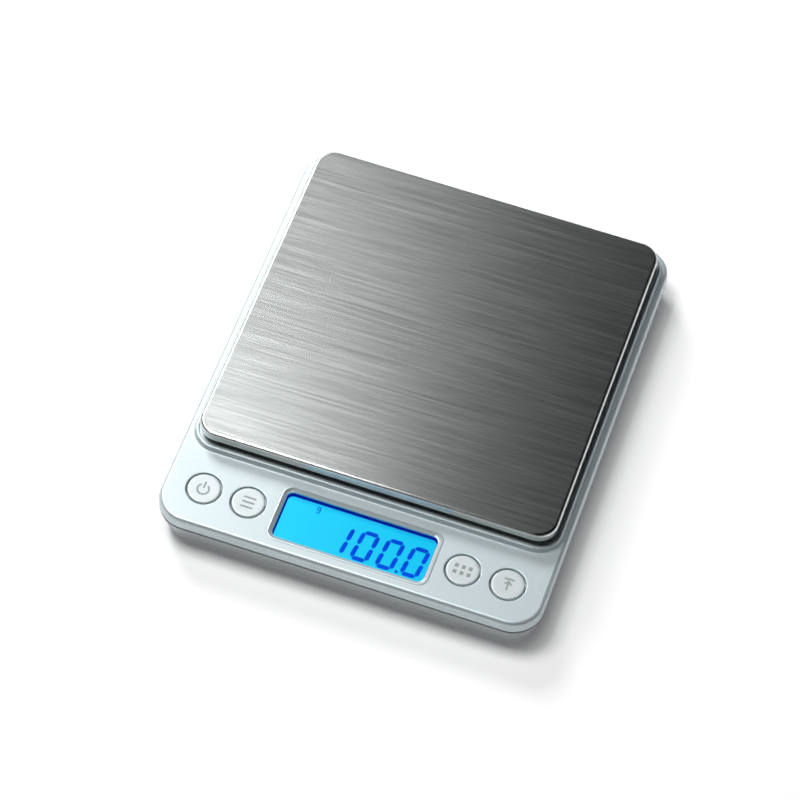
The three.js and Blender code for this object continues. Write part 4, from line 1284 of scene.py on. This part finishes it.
def cell(index):
    side, at = CELL_AT[index]
    low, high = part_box(f"battery_{index}")
    radius = (high.y - low.y) / 2
    long = high.x - low.x
    start = low.x if side > 0 else high.x
    skin = 0.12 * MM
    can = lathe(f"cell_{index}_can", [
        (0, 0.25 * MM), (3.6 * MM, 0.25 * MM), (3.8 * MM, 0), (4.4 * MM, 0), (radius - skin, 0.5 * MM),
        (radius - skin, long - 1.4 * MM), (4.5 * MM, long - 0.9 * MM), (2.3 * MM, long - 0.95 * MM),
        (1.9 * MM, long - 0.6 * MM), (1.9 * MM, long - 0.15 * MM), (1.75 * MM, long), (0, long)],
        (0, 0), 64)
    laid_along_x(can, side, start, at.y, at.z)
    finish_piece(can, BASE, "zinc", (f"battery_{index}",))
    sleeve = lathe(f"cell_{index}_sleeve", [
        (0, 0.42 * MM), (4.5 * MM, 0.42 * MM), (radius - 0.1 * MM, 0.5 * MM), (radius, 0.75 * MM),
        (radius, long - 1.5 * MM), (radius - 0.25 * MM, long - 1.2 * MM), (0, long - 1.2 * MM)],
        (0, 0), 64)
    core = lathe("core", [(0, -MM), (radius - skin, -MM), (radius - skin, long), (0, long)], (0, 0), 64)
    cut(sleeve, core)
    laid_along_x(sleeve, side, start, at.y, at.z)
    finish_piece(sleeve, BASE, "label" if side > 0 else "label_turned")


def spring(index):
    side = -CELL_AT[index][0]
    at = CELL_AT[index][1]
    low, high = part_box(f"battery_spring_{index}")
    wire = 0.28 * MM
    coil = grow(f"coil_{index}", "spring", [(0, 0, 0)], "zinc",
                Wire=wire, Height=high.x - low.x - 2 * wire)
    start = low.x + wire if side < 0 else high.x - wire
    laid_along_x(coil, -side, start, at.y, at.z)
    return finish_piece(coil, BASE, "zinc", (f"battery_spring_{index}",), 60)


def contact_plate(name, node, tag_y=None, dimple_y=None):
    """A pressed plate against an end wall, with a tag for its lead or a dimple for a cell's end."""
    low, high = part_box(node)
    thick = 0.3 * MM
    side = 1 if low.x > 0 else -1
    inner = low.x if side > 0 else high.x
    outer = inner + side * thick
    top = 11 * MM
    left, right = sorted((inner, outer))
    plate = soft_block(name, (left, low.y, low.z), (right, high.y, top), 0.05 * MM, 1)
    if tag_y is not None:
        half = 1.2 * MM
        join(plate,
             block("upright", (left, tag_y - half, top - MM), (right, tag_y + half, high.z)),
             block("tag", (low.x, tag_y - half, high.z - thick), (high.x, tag_y + half, high.z)))
    if dimple_y is not None:
        dimple = lathe("dimple", [(0, 0), (1.6 * MM, 0), (1.2 * MM, 0.1 * MM), (0.5 * MM, 0.14 * MM),
                                  (0, 0.14 * MM)], (0, 0), 32)
        laid_along_x(dimple, -side, inner, dimple_y, middle("battery_1").z)
        join(plate, dimple)
    return finish_piece(plate, BASE, "zinc", (node,))


def bay_door():
    """The lid over the cells: two hooks in front, a springy tongue with grip ridges at the back."""
    low, high = DOOR_LOW, DOOR_HIGH
    front, back = BAY_FRONT + 0.3 * MM, BAY_BACK - 0.3 * MM
    plate_top = UNDERSIDE + 0.9 * MM
    door = slab("bay_door", high.x - low.x, back - front, 0.5 * MM, [
        (0.15 * MM, UNDERSIDE), (0, UNDERSIDE + 0.15 * MM), (0, plate_top)], (0, (front + back) / 2), 4)
    hook = FLOOR_INSIDE + 0.2 * MM
    for side in (-1, 1):
        left, right = (side * HOOK_AT - HOOK_HALF) * MM, (side * HOOK_AT + HOOK_HALF) * MM
        join(door,
             block("stem", (left, front, UNDERSIDE + 0.2 * MM), (right, front + 0.8 * MM, high.z)),
             block("hook", (left, low.y, hook), (right, front + 0.8 * MM, high.z)))
        slit = side * 5.5 * MM
        cut(door, block("slit", (slit - 0.35 * MM, back - 6 * MM, 0),
                        (slit + 0.35 * MM, back + MM, plate_top + MM)))
    for x in (-20, 20):
        join(door, block("rib", (x * MM - 0.4 * MM, front + 1.6 * MM, plate_top - 0.2 * MM),
                         (x * MM + 0.4 * MM, back - 1.6 * MM, plate_top + 0.12 * MM)))
    rows = [(0, back - (1.7 + 1.5 * row) * MM, UNDERSIDE - 0.05 * MM) for row in range(3)]
    ridges = grow("ridges", "bar", rows, "grey_paint",
                  Width=7 * MM, Depth=0.6 * MM, Height=0.5 * MM)
    soft_edges(ridges, 0.15 * MM)
    join(door, ridges)
    return finish_piece(door, "battery_door", "grey_paint", ("battery_door",))


# ------------------------------------------------------------------ leads inside the case

LEADS = {
    "battery_lead_black": ("negative_lead", 0.5, "dark", (
        (-29, 39.15, 11.6), (-31.5, 38.5, 11.2), (-36, 33, 7.5), (-37, 12, 4.4), (-36, -20, 4.4),
        (-34.4, -32, 7.2), (-34, -37, 8.2), (-34, -40, 8.1))),
    "battery_lead_red": ("positive_lead", 0.5, "red", (
        (-29, 49.85, 11.6), (-32, 49.3, 11.2), (-39, 41, 7.5), (-40, 12, 4.4), (-39, -20, 4.4),
        (-37.4, -32, 7.2), (-37, -37, 8.2), (-37, -40, 8.1))),
    "load_cell_lead": ("sensor_lead", 0.75, "grey", (
        (2, 4.2, 8.1), (4, 1.5, 7.4), (10, -6, 4.6), (24, -18, 4.6), (32, -29, 6.4), (34, -36, 8.6),
        (34, -40, 8.4))),
}


def lead(node):
    name, radius, look, route = LEADS[node]
    curve = bpy.data.curves.new(name, "CURVE")
    curve.dimensions = "3D"
    curve.bevel_depth = radius * MM
    curve.bevel_resolution = 3
    curve.use_fill_caps = True
    line = curve.splines.new("BEZIER")
    line.bezier_points.add(len(route) - 1)
    for point, place in zip(line.bezier_points, route):
        point.co = Vector(place) * MM
        point.handle_left_type = point.handle_right_type = "AUTO"
    drawn = bpy.data.objects.new("route", curve)
    bpy.context.scene.collection.objects.link(drawn)
    graph = bpy.context.evaluated_depsgraph_get()
    mesh = bpy.data.meshes.new_from_object(drawn.evaluated_get(graph))
    bpy.data.objects.remove(drawn)
    piece = bpy.data.objects.new(name, mesh)
    bpy.context.scene.collection.objects.link(piece)
    tidy = bmesh.new()
    tidy.from_mesh(mesh)
    bmesh.ops.remove_doubles(tidy, verts=tidy.verts, dist=0.001 * MM)
    bmesh.ops.recalc_face_normals(tidy, faces=tidy.faces)
    tidy.to_mesh(mesh)
    tidy.free()
    return finish_piece(piece, BASE, look, (node,), 60)


# ------------------------------------------------------------------ stage

CAMERA = {
    "azimuth": math.radians(16.157),
    "elevation": math.radians(57.096),
    "roll": math.radians(3.506),
    "distance": 0.9043,
    "lens": 153.2,
    "aim": Vector((-1.7, -11.8, 19.0)) * MM,
}
# Strengths of the world: the fill from above and from below, and what reflections show
# near the horizon and overhead.
STUDIO = {"fill": 0.03, "below": 0.45, "horizon": 0.5, "overhead": 0.0}
# Azimuth and elevation in degrees, size in metres and power in watts.
LAMPS = {"left_softbox": (90, 70, 0.4, 6.7), "back_softbox": (45, 40, 0.36, 6.6)}
LAMP_DISTANCE = 1.15


def aimed(thing, place, target, roll=0.0):
    turn = (Vector(target) - Vector(place)).to_track_quat("-Z", "Y").to_matrix().to_4x4()
    thing.matrix_world = Matrix.Translation(place) @ turn @ Matrix.Rotation(roll, 4, "Z")
    bpy.context.scene.collection.objects.link(thing)
    return thing


def camera():
    lens = bpy.data.cameras.new("camera")
    lens.lens = CAMERA["lens"]
    lens.sensor_width = 36
    lens.clip_start, lens.clip_end = 0.01, 50
    a, e = CAMERA["azimuth"], CAMERA["elevation"]
    back = Vector((math.sin(a) * math.cos(e), -math.cos(a) * math.cos(e), math.sin(e)))
    place = CAMERA["aim"] + back * CAMERA["distance"]
    bpy.context.scene.camera = aimed(bpy.data.objects.new("camera", lens), place, CAMERA["aim"],
                                     CAMERA["roll"])


def lamp(name, azimuth, elevation, size, power):
    """A square soft lamp aimed at the case. Its azimuth in degrees runs from the back to the left."""
    light = bpy.data.lights.new(name, "AREA")
    light.size = size
    light.energy = power
    a, e = math.radians(azimuth), math.radians(elevation)
    subject = Vector((0, 0, 10 * MM))
    away = Vector((-math.sin(a) * math.cos(e), math.cos(a) * math.cos(e), math.sin(e)))
    thing = aimed(bpy.data.objects.new(name, light), subject + away * LAMP_DISTANCE, subject)
    thing.visible_camera = False
    return thing


def pale_floor():
    """A pale table top with a faint glow of its own, which dims close to the case so that the
    shadow stays. It sends no diffuse light to the scale, and from underneath it is clear."""
    half = 4.0
    floor = mesh_object("floor", [(-half, -half, 0), (half, -half, 0), (half, half, 0), (-half, half, 0)],
                        [(0, 1, 2, 3)])
    look = Look("pale_floor")
    grain = look.noise(14, detail=2)
    tint = colours().floor
    look.set(Base_Color=look.mix(grain, rgba(tint, 0.995), rgba(tint)), Roughness=0.9)
    shade = look.add("ShaderNodeAmbientOcclusion", {"Distance": 6 * MM}, samples=12).outputs["AO"]
    look.set(Specular_IOR_Level=0.0, Emission_Color=(1, 1, 1, 1))
    look.set(Emission_Strength=look.span(shade, 0.02, 0.36, 0.5, 1.0))
    facing = look.add("ShaderNodeNewGeometry").outputs["Backfacing"]
    clear = look.add("ShaderNodeBsdfTransparent").outputs[0]
    mixed = look.add("ShaderNodeMixShader", {0: facing, 1: look.shader.outputs[0], 2: clear})
    look.tree.links.new(mixed.outputs[0], look.output.inputs["Surface"])
    floor.data.materials.append(look.material)
    floor.visible_diffuse = False


def studio_world():
    """White to the camera, pale low down in reflections, dark overhead, and a soft even fill."""
    world = bpy.data.worlds.new("studio")
    bpy.context.scene.world = world
    world.use_nodes = True
    sky = Tree(world.node_tree)
    sky.tree.nodes.clear()

    def by_height(low, high, start, end):
        return sky.add("ShaderNodeMapRange", {
            "Value": height, "From Min": start, "From Max": end, "To Min": low, "To Max": high},
            interpolation_type="SMOOTHSTEP").outputs["Result"]

    def choose(factor, first, second):
        return sky.add("ShaderNodeMix", {0: factor, 2: first, 3: second}, data_type="FLOAT").outputs[0]

    direction = sky.add("ShaderNodeTexCoord").outputs["Generated"]
    height = sky.add("ShaderNodeSeparateXYZ", {"Vector": direction}).outputs["Z"]
    path = sky.add("ShaderNodeLightPath").outputs
    fill = by_height(STUDIO["below"], STUDIO["fill"], -0.1, 0.1)
    seen = by_height(STUDIO["horizon"], STUDIO["overhead"], 0.1, 0.5)
    mirrored = sky.math("MAXIMUM", path["Is Glossy Ray"], path["Is Transmission Ray"])
    strength = choose(path["Is Camera Ray"], choose(mirrored, fill, seen), 1.0)
    shade = sky.add("ShaderNodeBackground", {"Color": (1, 1, 1, 1), "Strength": strength})
    sky.add("ShaderNodeOutputWorld", {"Surface": shade.outputs[0]})


def stage():
    camera()
    pale_floor()
    studio_world()
    for name, values in LAMPS.items():
        lamp(name, *values)
    bpy.context.scene.view_settings.view_transform = "Standard"


# ------------------------------------------------------------------ operators

class GRAMSCALE_OT_shells(bpy.types.Operator):
    """Build the upper and lower shell of the case"""

    bl_idname = "gram_scale.shells"
    bl_label = "Case shells"

    def execute(self, context):
        upper_shell()
        lower_shell()
        return {"FINISHED"}


class GRAMSCALE_OT_feet(bpy.types.Operator):
    """Build the four rubber feet"""

    bl_idname = "gram_scale.feet"
    bl_label = "Rubber feet"

    def execute(self, context):
        rubber_feet()
        return {"FINISHED"}


class GRAMSCALE_OT_pan(bpy.types.Operator):
    """Build the brushed pan, its foam pad and the carrier under it"""

    bl_idname = "gram_scale.pan"
    bl_label = "Pan and carrier"

    def execute(self, context):
        brushed_pan()
        foam_pad()
        pan_carrier()
        riser = drilled_block("riser_block", "carrier_riser", CARRIER_SCREWS)
        finish_piece(riser, PLATFORM, "alloy", ("carrier_riser",))
        return {"FINISHED"}


class GRAMSCALE_OT_load_cell(bpy.types.Operator):
    """Build the load cell with its spacer and the covers of its strain gauges"""

    bl_idname = "gram_scale.load_cell"
    bl_label = "Load cell"

    def execute(self, context):
        load_beam()
        gauge_coating("upper")
        gauge_coating("lower")
        spacer = drilled_block("beam_spacer", "load_cell_spacer", BEAM_SCREWS, 0.1 * MM)
        finish_piece(spacer, BASE, "zinc", ("load_cell_spacer",))
        return {"FINISHED"}


class GRAMSCALE_OT_display(bpy.types.Operator):
    """Build the display: window, gasket, lit glass, reading, holder, backlight and contact strip"""

    bl_idname = "gram_scale.display"
    bl_label = "Display"

    def execute(self, context):
        window_lens()
        window_gasket()
        display_glass()
        lit_digits()
        display_holder()
        backlight_panel()
        contact_strip()
        return {"FINISHED"}


class GRAMSCALE_OT_buttons(bpy.types.Operator):
    """Build the four buttons with their signs, plungers and switches"""

    bl_idname = "gram_scale.buttons"
    bl_label = "Buttons and switches"

    def execute(self, context):
        for use in BUTTONS:
            button_cap(use)
            button_mark(use)
            plunger(use)
        switch_housings()
        return {"FINISHED"}


class GRAMSCALE_OT_board(bpy.types.Operator):
    """Build the main board and the parts soldered to it"""

    bl_idname = "gram_scale.board"
    bl_label = "Main board"

    def execute(self, context):
        circuit_board()
        resin_blob()
        converter_chip()
        crystal_can()
        capacitor_can()
        return {"FINISHED"}


class GRAMSCALE_OT_battery_bay(bpy.types.Operator):
    """Build the cells, springs, contact plates and the bay's door"""

    bl_idname = "gram_scale.battery_bay"
    bl_label = "Battery bay"

    def execute(self, context):
        for index in CELL_AT:
            cell(index)
            spring(index)
        first, second = (CELL_AT[index][1].y for index in (1, 2))
        contact_plate("bridge_plate", "contact_bridge", dimple_y=first)
        contact_plate("negative_plate", "contact_negative", tag_y=first)
        contact_plate("positive_plate", "contact_positive", tag_y=second, dimple_y=second)
        bay_door()
        return {"FINISHED"}


class GRAMSCALE_OT_screws(bpy.types.Operator):
    """Build every screw"""

    bl_idname = "gram_scale.screws"
    bl_label = "Screws"

    def execute(self, context):
        case_nodes = [f"case_screw_{corner}" for corner in CORNERS]
        screws("case_screws", CASE_SCREWS, case_nodes, BASE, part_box(case_nodes[0])[0].z)
        board_nodes = [f"board_screw_{index}" for index in (1, 2, 3, 4)]
        screws("board_screws", BOARD_SCREWS, board_nodes, BASE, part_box(board_nodes[0])[0].z,
               Head=1.9 * MM, Thickness=1.1 * MM, Shank=0.85 * MM, Length=5.55 * MM,
               Pitch=0.7 * MM, Thread=0.17 * MM, Recess=0.42 * MM)
        beam = {"Head": 2.6 * MM, "Thickness": 1.6 * MM, "Shank": 1.4 * MM, "Pitch": 0.7 * MM,
                "Thread": 0.18 * MM, "Recess": 0.6 * MM}
        beam_nodes = ["load_cell_screw_1", "load_cell_screw_2"]
        screws("beam_screws", BEAM_SCREWS, beam_nodes, BASE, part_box(beam_nodes[0])[0].z,
               Length=8.1 * MM, **beam)
        carrier_nodes = ["carrier_screw_1", "carrier_screw_2"]
        screws("platform_screws", CARRIER_SCREWS, carrier_nodes, PLATFORM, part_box(carrier_nodes[0])[1].z,
               Length=10.9 * MM, Turn=math.pi, **beam)
        return {"FINISHED"}


class GRAMSCALE_OT_leads(bpy.types.Operator):
    """Build the leads inside the case"""

    bl_idname = "gram_scale.leads"
    bl_label = "Leads"

    def execute(self, context):
        for node in LEADS:
            lead(node)
        return {"FINISHED"}


class GRAMSCALE_OT_stage(bpy.types.Operator):
    """Build the floor, the studio light and the camera"""

    bl_idname = "gram_scale.stage"
    bl_label = "Stage"

    def execute(self, context):
        stage()
        return {"FINISHED"}


OPERATORS = (
    GRAMSCALE_OT_shells,
    GRAMSCALE_OT_feet,
    GRAMSCALE_OT_pan,
    GRAMSCALE_OT_load_cell,
    GRAMSCALE_OT_display,
    GRAMSCALE_OT_buttons,
    GRAMSCALE_OT_board,
    GRAMSCALE_OT_battery_bay,
    GRAMSCALE_OT_screws,
    GRAMSCALE_OT_leads,
    GRAMSCALE_OT_stage,
)


class GRAMSCALE_PT_panel(bpy.types.Panel):
    """Lists the scale's sizes, colours and building steps"""

    bl_idname = "GRAMSCALE_PT_panel"
    bl_label = "Gram Scale"
    bl_space_type = "VIEW_3D"
    bl_region_type = "UI"
    bl_category = "Gram Scale"

    def draw(self, context):
        column = self.layout.column(align=True)
        for step in OPERATORS:
            column.operator(step.bl_idname)
        for group in (context.scene.gram_scale_sizes, context.scene.gram_scale_colours):
            box = self.layout.box()
            for name in group.__annotations__:
                box.prop(group, name)


CLASSES = (ScaleSizes, ScaleColours, *OPERATORS, GRAMSCALE_PT_panel)


def register():
    for kind in CLASSES:
        bpy.utils.register_class(kind)
    bpy.types.Scene.gram_scale_sizes = bpy.props.PointerProperty(type=ScaleSizes)
    bpy.types.Scene.gram_scale_colours = bpy.props.PointerProperty(type=ScaleColours)


def unregister():
    del bpy.types.Scene.gram_scale_colours
    del bpy.types.Scene.gram_scale_sizes
    for kind in reversed(CLASSES):
        bpy.utils.unregister_class(kind)


def main():
    register()
    for step in OPERATORS:
        group, name = step.bl_idname.split(".")
        getattr(getattr(bpy.ops, group), name)()


if __name__ == "__main__":
    main()
